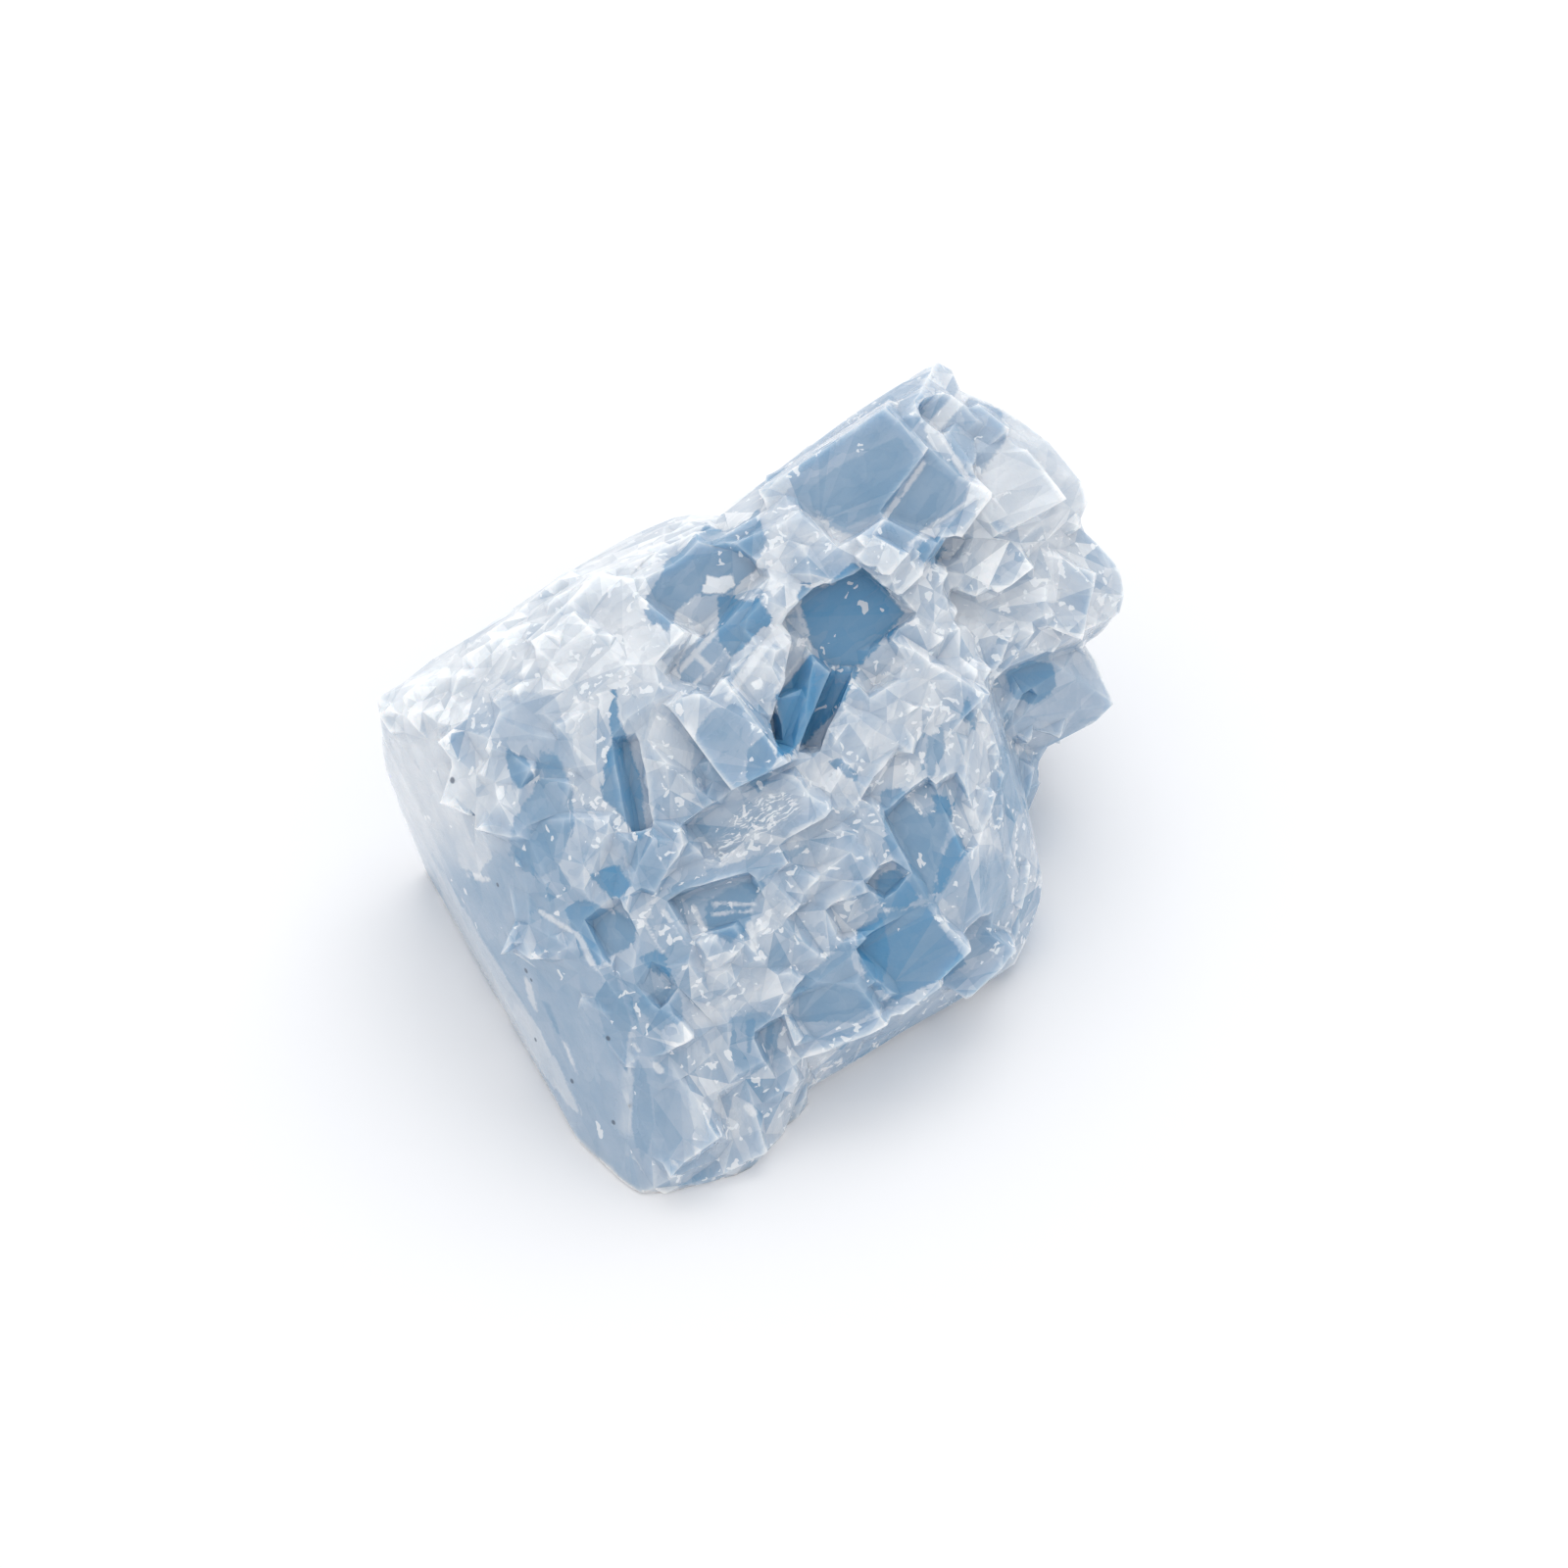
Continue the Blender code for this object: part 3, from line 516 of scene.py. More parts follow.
def inside_by(places, outline):
    """How far inside an outline each place is, less than 0 outside it."""
    corners = np.array(outline, dtype=float)
    inside = np.zeros(len(places), dtype=bool)
    for start, end in zip(corners, np.roll(corners, -1, axis=0)):
        rise = end[1] - start[1] or 1e-9
        level = start[0] + (places[:, 1] - start[1]) / rise * (end[0] - start[0])
        between = (start[1] > places[:, 1]) != (end[1] > places[:, 1])
        inside ^= between & (places[:, 0] < level)
    gap = line_distance(places, list(outline) + [outline[0]])
    return np.where(inside, gap, -gap)


def top_shape(places, shapes):
    """How far inside the nearest of the shapes each place is, and how blue that shape is."""
    best = np.full(len(places), -9.0)
    depth = np.full(len(places), 0.5)
    for tone, outline in shapes.values():
        gap = inside_by(places, outline)
        better = gap > best
        best[better] = gap[better]
        depth[better] = tone
    return best, depth


def frost_at(places):
    """How white the frost is at each place on the broken face."""
    frost = np.zeros(len(places))
    for spread, white, line in FROST.values():
        frost = np.maximum(frost, white * np.exp(-((line_distance(places, line) / spread) ** 2)))
    return frost


def tone_at(places):
    """How blue the cloudy stone is at each place on the broken face."""
    total = np.full(len(places), 0.02)
    blue = total * HIDDEN_TONE
    for across, up, spread, depth in TONES.values():
        gap = np.hypot(places[:, 0] - across, places[:, 1] - up)
        weight = np.exp(-((gap / spread) ** 2))
        total += weight
        blue += weight * depth
    return blue / total


def stone_in_mm():
    """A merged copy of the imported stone, in mm."""
    work = bmesh.new()
    work.from_mesh(frame["nodes"]["calcite"].data)
    bmesh.ops.scale(work, vec=(1 / MM, 1 / MM, 1 / MM), verts=work.verts[:])
    bmesh.ops.remove_doubles(work, verts=work.verts[:], dist=0.002)
    return work


def cell(length, width, depth):
    """The matrix that makes a unit cube a cleavage rhomb of this size, with its edges off square."""
    lean = math.sin(EDGE_LEAN)
    return Matrix((
        (length, -lean * width, -lean * depth),
        (0, width, -lean * depth),
        (0, 0, depth),
    ))


def tipped(turn_deg, tip_up_deg, tip_right_deg):
    """The turn of a lattice whose top looks out of the broken face, tipped and turned on it."""
    lean_back = Matrix.Rotation(math.pi / 2 - FACE_RISE, 3, "X")
    lean_back = TURNED @ lean_back
    tip = Euler((math.radians(-tip_up_deg), math.radians(tip_right_deg), 0)).to_matrix()
    return lean_back @ tip @ Matrix.Rotation(math.radians(turn_deg), 3, "Z")


def on_face(across, up, out):
    """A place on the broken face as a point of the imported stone, in mm."""
    rise, run = math.sin(FACE_RISE), math.cos(FACE_RISE)
    near = 1 - out / FACE_VIEW
    across, up = across * near, up * near
    flat = Vector((across, up * rise - out * run, up * run + out * rise))
    return TURNED @ flat + FACE_MIDDLE


def lattices(source):
    """A place for each grain of the stone, with the direction of its lattice."""
    grains = []
    for across, up, *turns in GRAINS.values():
        grains.append((on_face(across, up, 4), tipped(*turns)))
    for _ in range(HIDDEN_GRAINS):
        place = Vector(source.uniform((-32, 0, 0), (32, 25, 40)))
        spin = Euler(source.uniform(0, math.tau, 3)).to_matrix()
        if seen(np.array([place]))[0, 1] > -40 and facing_away(place):
            grains.append((place, spin))
    return grains


def facing_away(place):
    """Whether a place is well behind the broken face."""
    return (place - FACE_MIDDLE).dot(eye_place() - FACE_MIDDLE) / FACE_VIEW < -8


def lattice_at(grains, place):
    """The lattice of the grain that is nearest to a place."""
    return min(grains, key=lambda grain: (grain[0] - place).length_squared)[1]


def spread_places(work, count, source):
    """Points spread over the stone by area, with the normal at each."""
    faces = work.faces[:]
    areas = np.array([face.calc_area() for face in faces])
    picks = source.choice(len(faces), size=count, p=areas / areas.sum())
    places, normals = [], []
    for pick, (u, v) in zip(picks, np.sort(source.random((count, 2)), axis=1)):
        a, b, c = (vert.co for vert in faces[pick].verts)
        places.append(a * u + b * (v - u) + c * (1 - v))
        normals.append(faces[pick].normal.copy())
    return np.array(places), np.array(normals)


def crumb_share(places, normals):
    """How likely a crumb is at each place: likely in frost, rare in panes and on the smooth end."""
    across_up = seen(places)
    front = facing_eye(places, normals) > 0.05
    pane, _ = top_shape(across_up, PANES)
    share = 0.25 + 0.9 * frost_at(across_up)
    share[pane > -0.8] = 0.0
    patchy = 0.35 + 0.35 * np.sin(places[:, 0] * 0.37 + places[:, 2] * 0.51) * np.sin(
        places[:, 1] * 0.43 - places[:, 2] * 0.29)
    share = np.where(front, share, patchy)
    smooth = smooth_end(places, normals) > 0.5
    share[smooth] *= 0.06
    share[normals[:, 2] < -0.6] = 0
    return share


def smooth_end(places, normals):
    """1 where the stone is its smooth cleaved end, 0 elsewhere."""
    turn = np.array(TURNED @ SMOOTH_END_NORMAL)
    square = normals @ turn
    left = np.clip((-8 - places[:, 0]) / 3, 0, 1)
    return np.clip((square - 0.72) / 0.12, 0, 1) * left


def stands_out(skin, shape, middle):
    """How far the corners of a rhomb stand out of the stone at most."""
    most = 0
    for x, y, z in product((-0.5, 0.5), repeat=3):
        corner = middle + shape @ Vector((x, y, z))
        near, normal, _, _ = skin.find_nearest(corner)
        most = max(most, (corner - near).dot(normal))
    return most


def add_crumbs(work, sizes, source):
    """Adds small cleavage rhombs, each with its grain's lattice."""
    grains = lattices(source)
    skin = BVHTree.FromBMesh(work)
    places, normals = spread_places(work, sizes.crumbs * 3, source)
    kept = np.flatnonzero(source.random(len(places)) < crumb_share(places, normals))[:sizes.crumbs]
    for index in kept:
        place, normal = Vector(places[index]), Vector(normals[index])
        jitter = Euler(source.normal(0, CRUMB_JITTER, 3)).to_matrix()
        length = sizes.crumb_least + (sizes.crumb_most - sizes.crumb_least) * source.random() ** 1.6
        size = length * source.uniform(*CRUMB_SHAPES)
        shape = jitter @ lattice_at(grains, place) @ cell(*size)
        reach = sum(abs(edge.dot(normal)) for edge in shape.transposed()) / 2
        rise = sizes.crumb_rise * source.uniform(0.15, 1.0)
        middle = place + normal * (rise - reach)
        if stands_out(skin, shape, middle) < CRUMB_CLEAR:
            bmesh.ops.create_cube(work, size=1, matrix=Matrix.Translation(middle) @ shape.to_4x4())
    return grains


def mesh_object(work, name):
    """An object from a bmesh, which is freed."""
    data = bpy.data.meshes.new(name)
    work.to_mesh(data)
    work.free()
    piece = bpy.data.objects.new(name, data)
    bpy.context.scene.collection.objects.link(piece)
    return piece


def apply_modifiers(piece):
    """Makes the mesh of a piece what its modifiers show, and removes them."""
    graph = bpy.context.evaluated_depsgraph_get()
    made = bpy.data.meshes.new_from_object(piece.evaluated_get(graph))
    piece.modifiers.clear()
    old = piece.data
    piece.data = made
    bpy.data.meshes.remove(old)


def fuse(piece, grain):
    """Fuses the stone and its crumbs into one skin."""
    skin = piece.modifiers.new("skin", "REMESH")
    skin.mode = "VOXEL"
    skin.voxel_size = grain
    skin.adaptivity = 0
    apply_modifiers(piece)


def thin(piece, most):
    """Thins the mesh to this many triangles, first where it is flattest."""
    piece.data.calc_loop_triangles()
    now = len(piece.data.loop_triangles)
    if now > most:
        thinner = piece.modifiers.new("thin", "DECIMATE")
        thinner.ratio = most / now
        apply_modifiers(piece)


def mesh_points(mesh):
    points = np.empty(len(mesh.vertices) * 3)
    mesh.vertices.foreach_get("co", points)
    return points.reshape(-1, 3)


def mesh_normals(mesh):
    normals = np.empty(len(mesh.vertices) * 3)
    mesh.vertices.foreach_get("normal", normals)
    return normals.reshape(-1, 3)


def move_points(mesh, points):
    mesh.vertices.foreach_set("co", points.ravel())
    mesh.update()


def tree_of(places):
    """Finds the nearest of some places."""
    tree = KDTree(len(places))
    for index, place in enumerate(places):
        tree.insert(place, index)
    tree.balance()
    return tree


def block_tints(points, faces, source):
    """A tint for each face, the same for all the faces of one block."""
    count = len(faces) // BLOCK_FACES
    tree = tree_of(points[source.choice(len(points), size=count, replace=False)])
    tints = source.uniform(-0.5, 0.5, count)
    return tints[[tree.find(face.center)[1] for face in faces]]


def break_into_facets(piece, count, unevenness, source):
    """Makes the stone a skin of this many flat triangles, with their corners moved in and out."""
    thin(piece, count)
    calm(piece, CALM_ROUNDS)
    weight = facet_weight(piece)
    points, normals = mesh_points(piece.data), mesh_normals(piece.data)
    points += normals * (source.normal(0, unevenness, len(points)) * weight)[:, None]
    points[:, 2] = np.maximum(points[:, 2], 0)
    move_points(piece.data, points)
    faces = piece.data.polygons
    tints = source.uniform(-0.5, 0.5, len(faces)) + block_tints(points, faces, source)
    layer = piece.data.attributes.new("facet", "FLOAT", "FACE")
    layer.data.foreach_set("value", tints.astype(np.float32))


def calm(piece, rounds):
    """Presses the steps flat beside the smooth end."""
    around = Neighbours(piece.data)
    points, normals = mesh_points(piece.data), mesh_normals(piece.data)
    inside = np.clip(0.5 + inside_by(seen(points), CALM) / 2, 0, 1)
    weight = inside * np.clip(facing_eye(points, normals) * 3 - 0.5, 0, 1) * 0.6
    for _ in range(rounds):
        points += (around.mean(points) - points) * weight[:, None]
    move_points(piece.data, points)


def too_long(edge, eye, front_most, back_most):
    """Whether an edge is too long for what is painted on it, finer where it faces the eye."""
    towards = (eye - edge.verts[0].co).normalized()
    front = any(face.normal.dot(towards) > 0 for face in edge.link_faces)
    return edge.calc_length() > (front_most if front else back_most)


def refine(piece, front_most, back_most):
    """Cuts the flat facets into smaller triangles that lie in the same planes."""
    work = bmesh.new()
    work.from_mesh(piece.data)
    eye = eye_place()
    for _ in range(REFINE_ROUNDS):
        long_edges = [edge for edge in work.edges if too_long(edge, eye, front_most, back_most)]
        bmesh.ops.subdivide_edges(work, edges=long_edges, cuts=1)
        bmesh.ops.triangulate(work, faces=[face for face in work.faces if len(face.verts) > 3])
    work.to_mesh(piece.data)
    work.free()


def facet_weight(piece):
    """How much each vertex may be broken into facets: little in panes and on the smooth end."""
    points, normals = mesh_points(piece.data), mesh_normals(piece.data)
    across_up = seen(points)
    front = facing_eye(points, normals) > 0.05
    pane, _ = top_shape(across_up, PANES)
    weight = np.where(front, np.clip(0.15 - pane / 0.8, 0.12, 1.0), 0.8)
    weight *= 1 - 0.9 * smooth_end(points, normals)
    weight *= np.clip(points[:, 2] / 1.5, 0, 1)
    return weight


class Neighbours:
    """Averages values over the vertices that each vertex is joined to."""

    def __init__(self, mesh):
        pairs = np.empty(len(mesh.edges) * 2, dtype=np.int64)
        mesh.edges.foreach_get("vertices", pairs)
        one, two = pairs.reshape(-1, 2).T
        self.near = np.concatenate((one, two))
        self.far = np.concatenate((two, one))
        self.size = len(mesh.vertices)
        self.count = np.bincount(self.near, minlength=self.size)

    def mean(self, values):
        if values.ndim > 1:
            return np.stack([self.mean(column) for column in values.T], axis=1)
        return np.bincount(self.near, values[self.far], minlength=self.size) / self.count


def convexity(piece):
    """How far each vertex stands out of its neighbours, in mm, a little blurred."""
    mesh = piece.data
    points, normals = mesh_points(mesh), mesh_normals(mesh)
    around = Neighbours(mesh)
    middle = points
    for _ in range(3):
        middle = around.mean(middle)
    out = ((points - middle) * normals).sum(axis=1)
    return 0.5 * (out + around.mean(out))


def fill_hollows(piece, steps, weight):
    """Fills crevices between crumbs and leaves the ridges as they are."""
    mesh = piece.data
    around = Neighbours(mesh)
    points = mesh_points(mesh)
    for step in range(steps):
        if step % 4 == 0:
            move_points(mesh, points)
            normals = mesh_normals(mesh)
        rise = ((around.mean(points) - points) * normals).sum(axis=1)
        points = points + normals * (np.maximum(rise, 0) * weight)[:, None]
    move_points(mesh, points)


def even_out(piece, rounds, weight):
    """Takes out relief narrower than about 2 mm and keeps the larger shapes at their size."""
    mesh = piece.data
    around = Neighbours(mesh)
    points = mesh_points(mesh)
    for _ in range(rounds):
        for pull in (0.5, -0.53):
            points = points + (around.mean(points) - points) * (pull * weight)[:, None]
    move_points(mesh, points)


def store(mesh, name, values):
    """Keeps one number for each vertex, for the material to read."""
    layer = mesh.attributes.new(name, "FLOAT", "POINT")
    layer.data.foreach_set("value", np.asarray(values, dtype=np.float32))


def store_places(mesh, name, places):
    """Keeps one point for each vertex, for the material to read."""
    layer = mesh.attributes.new(name, "FLOAT_VECTOR", "POINT")
    layer.data.foreach_set("vector", np.asarray(places, dtype=np.float32).ravel())


def bent(points, reach):
    """The points moved a little, so that no edge of a pattern over them is straight."""
    bends = [noise.turbulence_vector(Vector(point) * 0.8, 3, False) for point in points]
    return points + np.array(bends) * reach


def cloud_at(points):
    """A slow change of tone through the stone."""
    values = np.array([noise.fractal(Vector(point) * 0.35, 1.0, 2.0, 4) for point in points])
    return (values - values.mean()) / values.std() * 0.09


def store_grain_places(mesh, points, grains):
    """Keeps, for each corner of each face, where it lies in the lattice of the face's own grain."""
    tree = tree_of([place for place, _ in grains])
    shapes = []
    for _, lattice in grains:
        shapes.append(np.array((lattice @ cell(1 / GRAIN_STRETCH, 1, 1)).inverted()))
    corners = np.empty(len(mesh.loops), dtype=np.int64)
    mesh.loops.foreach_get("vertex_index", corners)
    nearest = []
    for face in mesh.polygons:
        nearest += [tree.find(face.center)[1]] * face.loop_total
    nearest = np.array(nearest)
    places = np.einsum("nij,nj->ni", np.array(shapes)[nearest], points[corners])
    places += nearest[:, None] * GRAIN_SHIFT
    layer = mesh.attributes.new("grain_place", "FLOAT_VECTOR", "CORNER")
    layer.data.foreach_set("vector", places.astype(np.float32).ravel())


def hidden_panes(points, source):
    """Panes for the sides that face away: how far inside one each point is, and how blue it is."""
    tree = tree_of(source.uniform(*HIDDEN_BOX, (HIDDEN_CELLS, 3)))
    blue = np.where(source.random(HIDDEN_CELLS) < 0.3, source.uniform(0.5, 0.95, HIDDEN_CELLS), 0)
    gap, depth = np.empty(len(points)), np.empty(len(points))
    for index, point in enumerate(points):
        near = tree.find_n(point, 2)
        apart = (near[1][2] - near[0][2]) / 2
        tone = blue[near[0][1]]
        gap[index] = apart if tone > 0 else -apart
        depth[index] = tone if tone > 0 else blue[near[1][1]] or 0.6
    return gap, depth


def speck_places(piece):
    """Where each dark grain lies on the stone in mm, with its width."""
    points, normals = mesh_points(piece.data), mesh_normals(piece.data)
    points = points[facing_eye(points, normals) > 0]
    across_up = seen(points)
    places = []
    for across, up, width in SPECKS:
        nearest = np.argmin(np.hypot(across_up[:, 0] - across, across_up[:, 1] - up))
        places.append((Vector(points[nearest]), width))
    return places


def paint(piece, grains, source):
    """Works out, for each vertex, the panes, marks, frost, lines and grains that show there."""
    mesh = piece.data
    points, normals = mesh_points(mesh), mesh_normals(mesh)
    across_up = seen(points)
    square = facing_eye(points, normals)
    front = np.clip((square + 0.02) / 0.1, 0, 1)
    pane, pane_depth = top_shape(across_up, PANES)
    hidden, hidden_depth = hidden_panes(points, source)
    mark, mark_depth = top_shape(across_up, MARKS)
    vein = np.full(len(points), FAR_OUTSIDE)
    for width, line in VEINS:
        vein = np.maximum(vein, width / 2 - line_distance(across_up, line))
    values = {
        "pane": np.where(front > 0.5, pane, hidden),
        "pane_depth": np.where(front > 0.5, pane_depth, hidden_depth),
        "mark": np.where(front > 0.5, mark, FAR_OUTSIDE),
        "mark_depth": mark_depth,
        "vein": np.where(front > 0.5, vein, FAR_OUTSIDE),
        "frost": front * frost_at(across_up) + (1 - front) * HIDDEN_FROST,
        "blue": front * tone_at(across_up) + (1 - front) * HIDDEN_TONE,
        "smooth": smooth_end(points, normals),
        "glitter": front * np.clip(0.5 + inside_by(across_up, GLITTER) * 1.5, 0, 1),
        # edge is the convexity, which the material turns into a painted highlight along ridges
        "edge": convexity(piece),
        "cloud": cloud_at(points),
    }
    for name, each in values.items():
        store(mesh, name, each)
    store_places(mesh, "bent", bent(points, 0.9))
    store_grain_places(mesh, bent(points, 0.3), grains)


class Recipe:
    """Adds nodes to a material, each already joined to what feeds it."""

    def __init__(self, material):
        self.tree = material.node_tree

    def plug(self, socket, value):
        if isinstance(value, bpy.types.NodeSocket):
            self.tree.links.new(value, socket)
        else:
            socket.default_value = value

    def node(self, kind, *values, **settings):
        node = self.tree.nodes.new(kind)
        for name, setting in settings.items():
            setattr(node, name, setting)
        for index, value in enumerate(values):
            if value is not None:
                self.plug(node.inputs[index], value)
        return node

    def math(self, operation, one, two):
        return self.node("ShaderNodeMath", one, two, operation=operation).outputs[0]

    def add(self, one, two):
        return self.math("ADD", one, two)

    def times(self, one, two):
        return self.math("MULTIPLY", one, two)

    def plus(self, total, *parts):
        """A value plus some others, each of them times its weight."""
        for value, weight in parts:
            total = self.add(total, self.times(value, weight))
        return total

    def vector(self, operation, one, two=(0.0, 0.0, 0.0), scale=None):
        node = self.node("ShaderNodeVectorMath", one, two, operation=operation)
        if scale is not None:
            self.plug(node.inputs["Scale"], scale)
        return node.outputs["Value" if operation == "DOT_PRODUCT" else "Vector"]

    def blend(self, share, one, two):
        node = self.node("ShaderNodeMix", data_type="FLOAT")
        self.plug(node.inputs[0], share)
        self.plug(node.inputs[2], one)
        self.plug(node.inputs[3], two)
        return node.outputs[0]

    def ramp(self, value, low, high, to_low=0.0, to_high=1.0):
        node = self.node("ShaderNodeMapRange", value, low, high, to_low, to_high)
        return node.outputs[0]

    def attribute(self, name):
        return self.node("ShaderNodeAttribute", attribute_name=name).outputs["Fac"]

    def place(self, name):
        return self.node("ShaderNodeAttribute", attribute_name=name).outputs["Vector"]

    def noise(self, place, scale):
        node = self.node("ShaderNodeTexNoise")
        self.plug(node.inputs["Vector"], place)
        node.inputs["Scale"].default_value = scale
        node.inputs["Detail"].default_value = 2.0
        return node.outputs["Fac"]

    def cells(self, place, scale):
        """A cell pattern: two random values for each cell, and a slope that falls across it."""
        node = self.node("ShaderNodeTexVoronoi")
        self.plug(node.inputs["Vector"], place)
        node.inputs["Scale"].default_value = scale
        parts = self.node("ShaderNodeSeparateColor", node.outputs["Color"]).outputs
        tilt = self.vector("SUBTRACT", node.outputs["Color"], (0.5, 0.5, 0.5))
        away = self.vector("SUBTRACT", place, node.outputs["Position"])
        slope = self.times(self.vector("DOT_PRODUCT", away, tilt), scale)
        return self.add(parts[0], -0.5), parts[1], slope


def ramp_colours(recipe, depth, look):
    """White frost to the deepest blue."""
    node = recipe.node("ShaderNodeValToRGB", depth)
    stops = node.color_ramp.elements
    stops[0].position, stops[0].color = 0.0, (*look.frost, 1)
    stops[1].position, stops[1].color = 1.0, (*look.deep, 1)
    for position, colour in ((0.25, look.cloudy), (0.5, look.pale), (0.75, look.middle)):
        stop = stops.new(position)
        stop.color = (*colour, 1)
    return node.outputs["Color"]


def glitter(recipe):
    """Bright strokes along the grain, in the crushed band below the middle."""
    place = recipe.place("grain_place")
    drawn = recipe.vector("MULTIPLY", place, (1.6, 6.0, 6.0))
    strokes = recipe.noise(drawn, 1.0)
    return recipe.times(recipe.ramp(strokes, 0.52, 0.60, 0.0, 0.85), recipe.attribute("glitter"))


def specks(recipe, place, places):
    """1 in the dark grains of the smooth end, 0 elsewhere."""
    inside = 0.0
    for middle, width in places:
        gap = recipe.node("ShaderNodeVectorMath", place, middle, operation="DISTANCE").outputs["Value"]
        inside = recipe.math("MAXIMUM", inside, recipe.ramp(gap, width * 0.35, width * 0.6, 1.0, 0.0))
    return inside


class Patterns:
    """The cell patterns and masks that the parts of the stone's material share."""

    def __init__(self, recipe):
        coords = recipe.node("ShaderNodeTexCoord").outputs["Object"]
        self.place = recipe.vector("SCALE", coords, scale=1 / MM)
        slivers = recipe.place("grain_place")
        self.shard, _, self.shard_slope = recipe.cells(slivers, SHARDS)
        small, _, self.small_slope = recipe.cells(slivers, SMALL_SHARDS)
        # The chip cells vary the frost; their second value picks the few cells that are painted white as
        # glints.
        self.chip, self.chip_pick, _ = recipe.cells(recipe.place("bent"), CHIPS)
        self.cloud = recipe.attribute("cloud")
        self.fine = recipe.add(recipe.noise(self.place, 3.0), -0.5)
        self.ragged = recipe.plus(recipe.times(self.shard, 0.5), (self.fine, 0.5))
        self.facets = recipe.plus(
            recipe.times(recipe.attribute("facet"), 0.22),
            (self.shard, 0.15), (small, 0.05), (self.shard_slope, 0.204), (self.small_slope, 0.096),
        )
        self.smooth = recipe.attribute("smooth")
        self.broken = recipe.ramp(self.smooth, 0.0, 1.0, 1.0, 0.22)


def cloudy_depth(recipe, pattern):
    """How blue the stone is between its panes, and where it is frosted."""
    body = recipe.plus(
        recipe.attribute("blue"), (pattern.facets, pattern.broken), (pattern.cloud, 0.25))
    frost = recipe.plus(
        recipe.attribute("frost"), (pattern.shard, 0.35), (pattern.chip, 0.15), (pattern.cloud, 0.5))
    in_frost = recipe.ramp(frost, 0.3, 1.0, 0.0, 0.8)
    white = recipe.ramp(frost, 0.55, 1.25, 0.34, 0.10)
    white = recipe.plus(white, (pattern.facets, 0.8), (pattern.chip, 0.08))
    return recipe.blend(in_frost, body, white), in_frost


def with_panes(recipe, pattern, depth):
    """How blue the stone is with its panes and the shapes in them, and where the panes are."""
    in_pane = recipe.ramp(recipe.add(recipe.attribute("pane"), pattern.ragged), -0.1, 0.1)
    pane = recipe.plus(recipe.attribute("pane_depth"), (pattern.facets, 0.5), (pattern.cloud, 0.20))
    in_mark = recipe.ramp(recipe.plus(recipe.attribute("mark"), (pattern.ragged, 0.6)), -0.08, 0.08)
    mark = recipe.plus(recipe.attribute("mark_depth"), (pattern.facets, 0.3), (pattern.cloud, 0.15))
    return recipe.blend(in_mark, recipe.blend(in_pane, depth, pane), mark), in_pane


def with_white_parts(recipe, pattern, depth, in_pane):
    """How blue the stone is with its painted highlights on ridges, painted glints, fracture lines and
    glitter.
    """
    # Painted highlight: ridges are made paler by their convexity, as if their edges caught the light.
    depth = recipe.add(depth, recipe.ramp(recipe.attribute("edge"), 0.02, 0.16, 0.0, -0.26))
    # Painted glints: a few chip cells, fewer in the panes and on the smooth end, are painted almost
    # white.
    rarely = recipe.ramp(recipe.math("MAXIMUM", in_pane, pattern.smooth), 0.0, 1.0, 0.95, 0.995)
    in_glint = recipe.math("GREATER_THAN", pattern.chip_pick, rarely)
    depth = recipe.blend(recipe.times(in_glint, 0.75), depth, 0.05)
    vein = recipe.plus(recipe.attribute("vein"), (pattern.ragged, 0.55))
    depth = recipe.blend(recipe.ramp(vein, -0.1, 0.1, 0.0, 0.65), depth, 0.08)
    return recipe.blend(glitter(recipe), depth, 0.02)


def with_specks(recipe, colour, dark, share):
    """The stone's colour with the dark grains over it."""
    mix = recipe.node("ShaderNodeMix", data_type="RGBA")
    recipe.plug(mix.inputs[0], recipe.times(share, 0.8))
    recipe.plug(mix.inputs[6], colour)
    mix.inputs[7].default_value = (*dark, 1)
    return mix.outputs[2]


def relief(recipe, pattern, in_pane):
    """The fine slopes of the shards, weak in the panes and on the smooth end."""
    rough = recipe.times(recipe.ramp(in_pane, 0.0, 1.0, 0.5, 0.15), pattern.broken)
    slopes = recipe.plus(recipe.times(pattern.shard_slope, 0.4), (pattern.small_slope, 0.16))
    height = recipe.plus(recipe.times(slopes, rough), (pattern.fine, 0.04))
    bump = recipe.node("ShaderNodeBump")
    bump.inputs["Strength"].default_value = 1.0
    bump.inputs["Distance"].default_value = MM
    recipe.plug(bump.inputs["Height"], height)
    return bump.outputs[0]


def calcite_material(look, dark_grains):
    """Cloudy blue calcite, clear in its panes and white where it is crushed."""
    material = bpy.data.materials.new("calcite")
    material.use_nodes = True
    recipe = Recipe(material)
    pattern = Patterns(recipe)
    depth, in_frost = cloudy_depth(recipe, pattern)
    depth, in_pane = with_panes(recipe, pattern, depth)
    depth = with_white_parts(recipe, pattern, depth, in_pane)
    colour = ramp_colours(recipe, depth, look)
    colour = with_specks(recipe, colour, look.speck, specks(recipe, pattern.place, dark_grains))
    shine = recipe.ramp(in_frost, 0.0, 1.0, look.pane_shine, look.frost_shine)

    surface = material.node_tree.nodes["Principled BSDF"].inputs
    recipe.plug(surface["Base Color"], colour)
    recipe.plug(surface["Roughness"], shine)
    recipe.plug(surface["Normal"], relief(recipe, pattern, in_pane))
    surface["Subsurface Weight"].default_value = look.glow
    surface["Subsurface Radius"].default_value = GLOW_COLOUR
    surface["Subsurface Scale"].default_value = look.glow_reach
    surface["IOR"].default_value = CALCITE_IOR
    return material


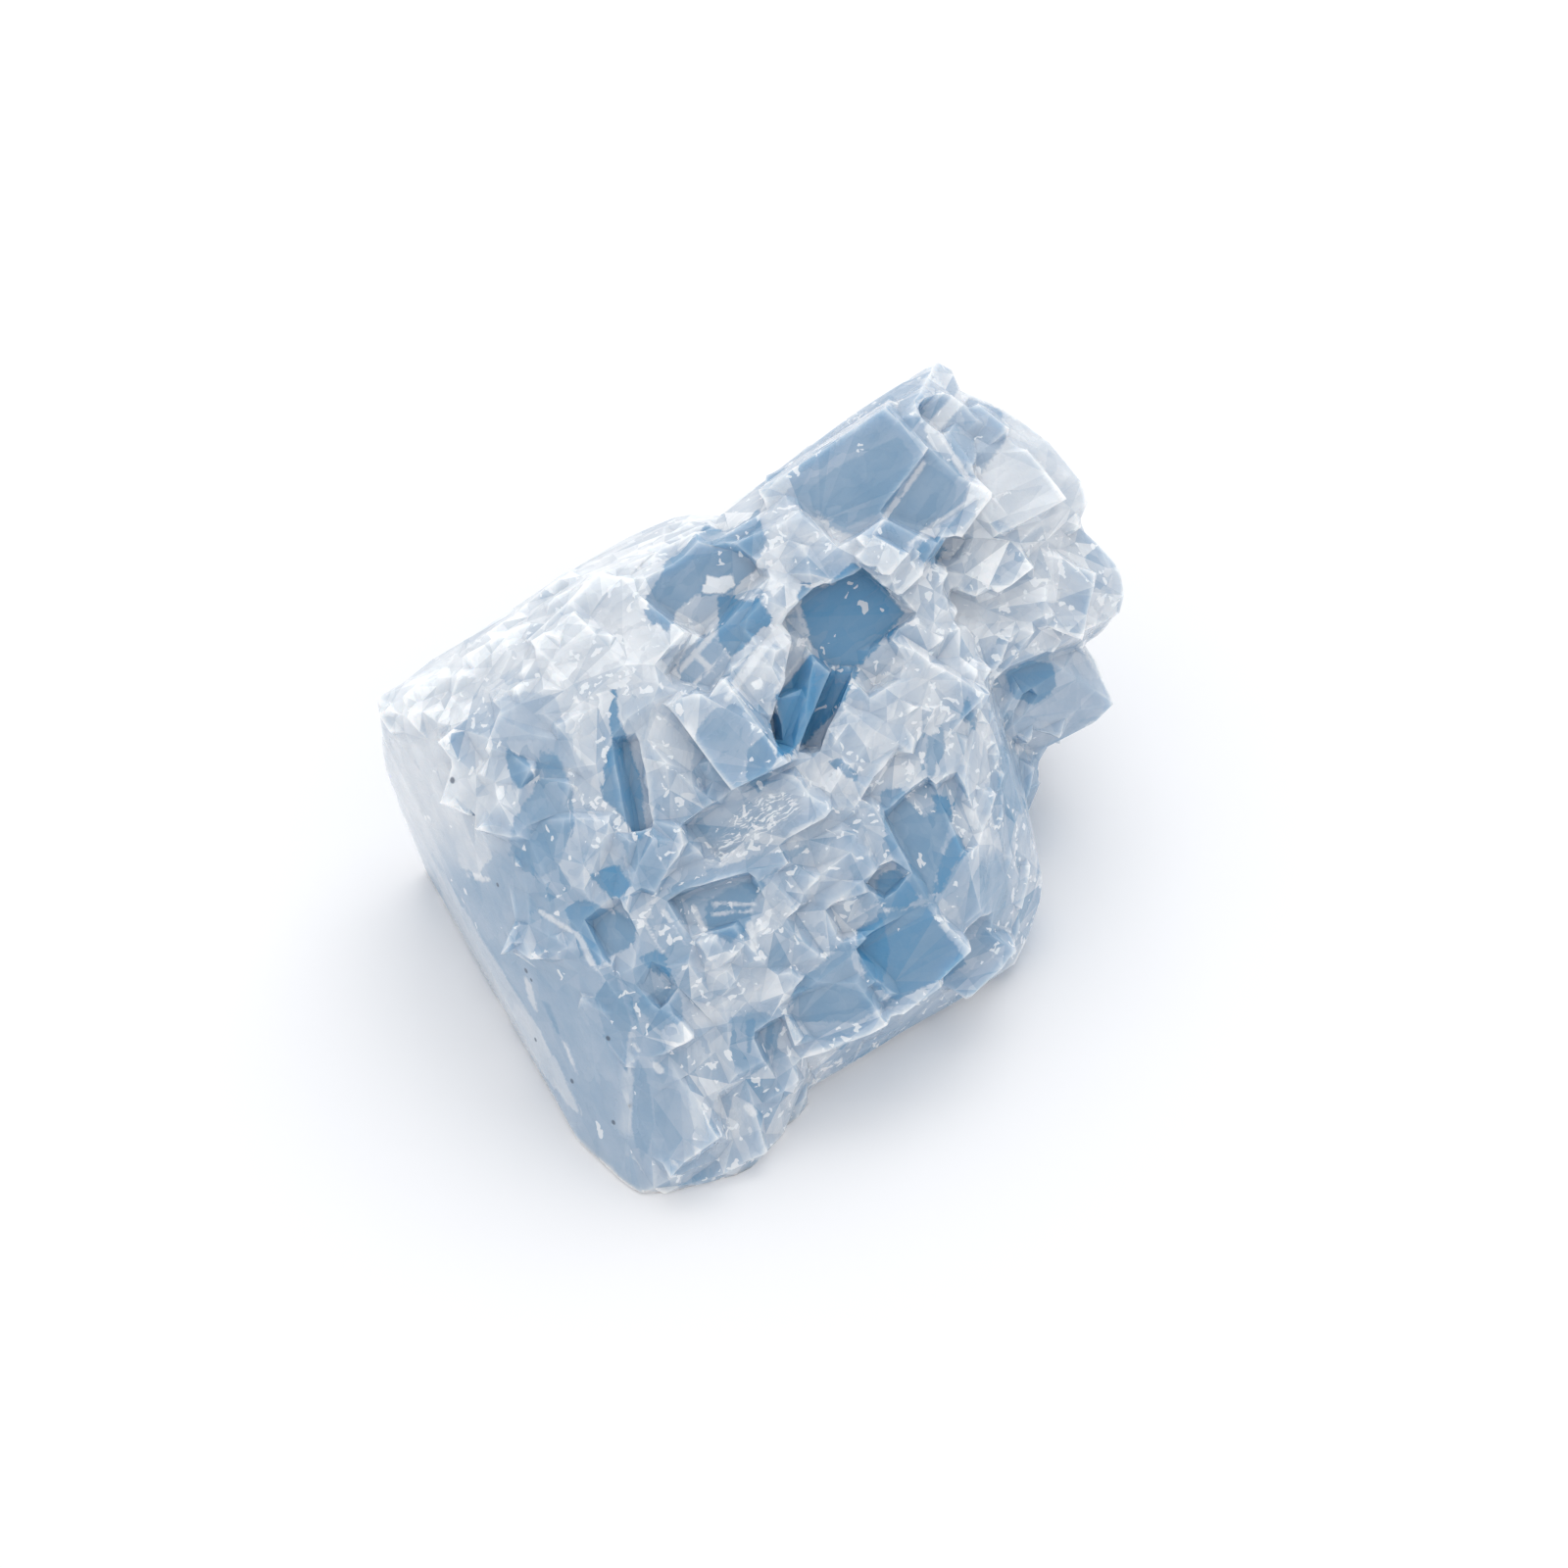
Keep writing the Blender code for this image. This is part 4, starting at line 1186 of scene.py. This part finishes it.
def make_stone(context):
    """Builds the dressed stone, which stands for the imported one."""
    sizes, look = context.scene.calcite_sizes, context.scene.calcite_look
    source = np.random.default_rng(SEED)
    # Without a seed of its own, the noise that bends the patterns would differ from run to run.
    noise.seed_set(SEED)
    work = stone_in_mm()
    grains = add_crumbs(work, sizes, source)
    stone = mesh_object(work, "blue_calcite")
    fuse(stone, sizes.grain)
    weight = np.clip(facet_weight(stone) * 1.2, 0.3, 1)
    fill_hollows(stone, sizes.filling, weight)
    even_out(stone, sizes.evening, weight)
    break_into_facets(stone, sizes.facets, sizes.unevenness, source)
    refine(stone, sizes.front_grain, sizes.back_grain)
    paint(stone, grains, source)
    dark_grains = speck_places(stone)
    stone.data.transform(Matrix.Scale(MM, 4))
    stone.data.shade_smooth()
    stone.data.set_sharp_from_angle(angle=SHARP_FROM)
    stone.data.materials.clear()
    stone.data.materials.append(calcite_material(look, dark_grains))
    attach(stone, "root")
    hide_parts("calcite")
    return stone


def plain_material(name, colour, roughness):
    material = bpy.data.materials.new(name)
    material.use_nodes = True
    surface = material.node_tree.nodes["Principled BSDF"]
    surface.inputs["Base Color"].default_value = (*colour, 1)
    surface.inputs["Roughness"].default_value = roughness
    surface.inputs["Specular IOR Level"].default_value = 0.2
    return material


def add_floor(stage):
    work = bmesh.new()
    bmesh.ops.create_grid(work, x_segments=1, y_segments=1, size=stage.floor_width / 2)
    floor = mesh_object(work, "floor")
    floor.data.materials.append(plain_material("floor", stage.floor_colour, 0.6))


def add_light(name, power, width, place, target):
    data = bpy.data.lights.new(name, "AREA")
    data.energy = power
    data.size = width
    light = bpy.data.objects.new(name, data)
    light.location = place
    light.rotation_euler = (Vector(target) - Vector(place)).to_track_quat("-Z", "Y").to_euler()
    bpy.context.scene.collection.objects.link(light)


def from_face(turn_deg, elevation_deg, distance):
    """A place round the stone, turned from straight in front of the broken face, in metres."""
    away = direction(math.radians(turn_deg), math.radians(elevation_deg))
    return FACE_MIDDLE * MM + away * distance


def add_camera(stage):
    data = bpy.data.cameras.new("camera")
    data.lens = stage.lens
    data.sensor_width = 36
    data.clip_start = 0.01
    data.dof.use_dof = False
    camera = bpy.data.objects.new("camera", data)
    camera.location = eye_place() * MM
    camera.rotation_euler = (FACE_MIDDLE * MM - camera.location).to_track_quat("-Z", "Y").to_euler()
    bpy.context.scene.collection.objects.link(camera)
    bpy.context.scene.camera = camera


def add_sky(stage):
    world = bpy.data.worlds.new("studio")
    world.use_nodes = True
    background = world.node_tree.nodes["Background"]
    background.inputs["Color"].default_value = (0.98, 0.99, 1.0, 1)
    background.inputs["Strength"].default_value = stage.sky
    bpy.context.scene.world = world
    bpy.context.scene.view_settings.view_transform = "Standard"


class CALCITE_OT_stage(bpy.types.Operator):
    """Sets the pale floor, the soft lights and the camera"""

    bl_idname = "calcite.make_stage"
    bl_label = "Stage"

    def execute(self, context):
        stage = context.scene.calcite_stage
        add_floor(stage)
        add_sky(stage)
        middle = FACE_MIDDLE * MM
        add_light("key", stage.key, 0.5, from_face(*KEY_PLACE), middle)
        add_light("fill", stage.fill, 0.4, from_face(*FILL_PLACE), middle)
        add_camera(stage)
        return {"FINISHED"}


class CALCITE_OT_stone(bpy.types.Operator):
    """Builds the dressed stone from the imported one"""

    bl_idname = "calcite.make_stone"
    bl_label = "Stone"

    def execute(self, context):
        stone = make_stone(context)
        if len(stone.data.polygons) < 1000:
            raise RuntimeError("the stone came out almost empty")
        return {"FINISHED"}


class CALCITE_PT_panel(bpy.types.Panel):
    """The settings of the stone, its look and its stage"""

    bl_idname = "CALCITE_PT_panel"
    bl_label = "Blue calcite"
    bl_space_type = "VIEW_3D"
    bl_region_type = "UI"
    bl_category = "Calcite"

    def draw(self, context):
        for group in ("calcite_sizes", "calcite_look", "calcite_stage"):
            settings = getattr(context.scene, group)
            box = self.layout.box()
            for name in settings.__annotations__:
                box.prop(settings, name)
        self.layout.operator(CALCITE_OT_stage.bl_idname)
        self.layout.operator(CALCITE_OT_stone.bl_idname)


CLASSES = (
    CalciteSizes, CalciteLook, CalciteStage, CALCITE_OT_stage, CALCITE_OT_stone, CALCITE_PT_panel,
)


def register():
    for each in CLASSES:
        bpy.utils.register_class(each)
    bpy.types.Scene.calcite_sizes = bpy.props.PointerProperty(type=CalciteSizes)
    bpy.types.Scene.calcite_look = bpy.props.PointerProperty(type=CalciteLook)
    bpy.types.Scene.calcite_stage = bpy.props.PointerProperty(type=CalciteStage)


def unregister():
    del bpy.types.Scene.calcite_stage
    del bpy.types.Scene.calcite_look
    del bpy.types.Scene.calcite_sizes
    for each in reversed(CLASSES):
        bpy.utils.unregister_class(each)


def main():
    register()
    bpy.ops.calcite.make_stage()
    bpy.ops.calcite.make_stone()


if __name__ == "__main__":
    main()
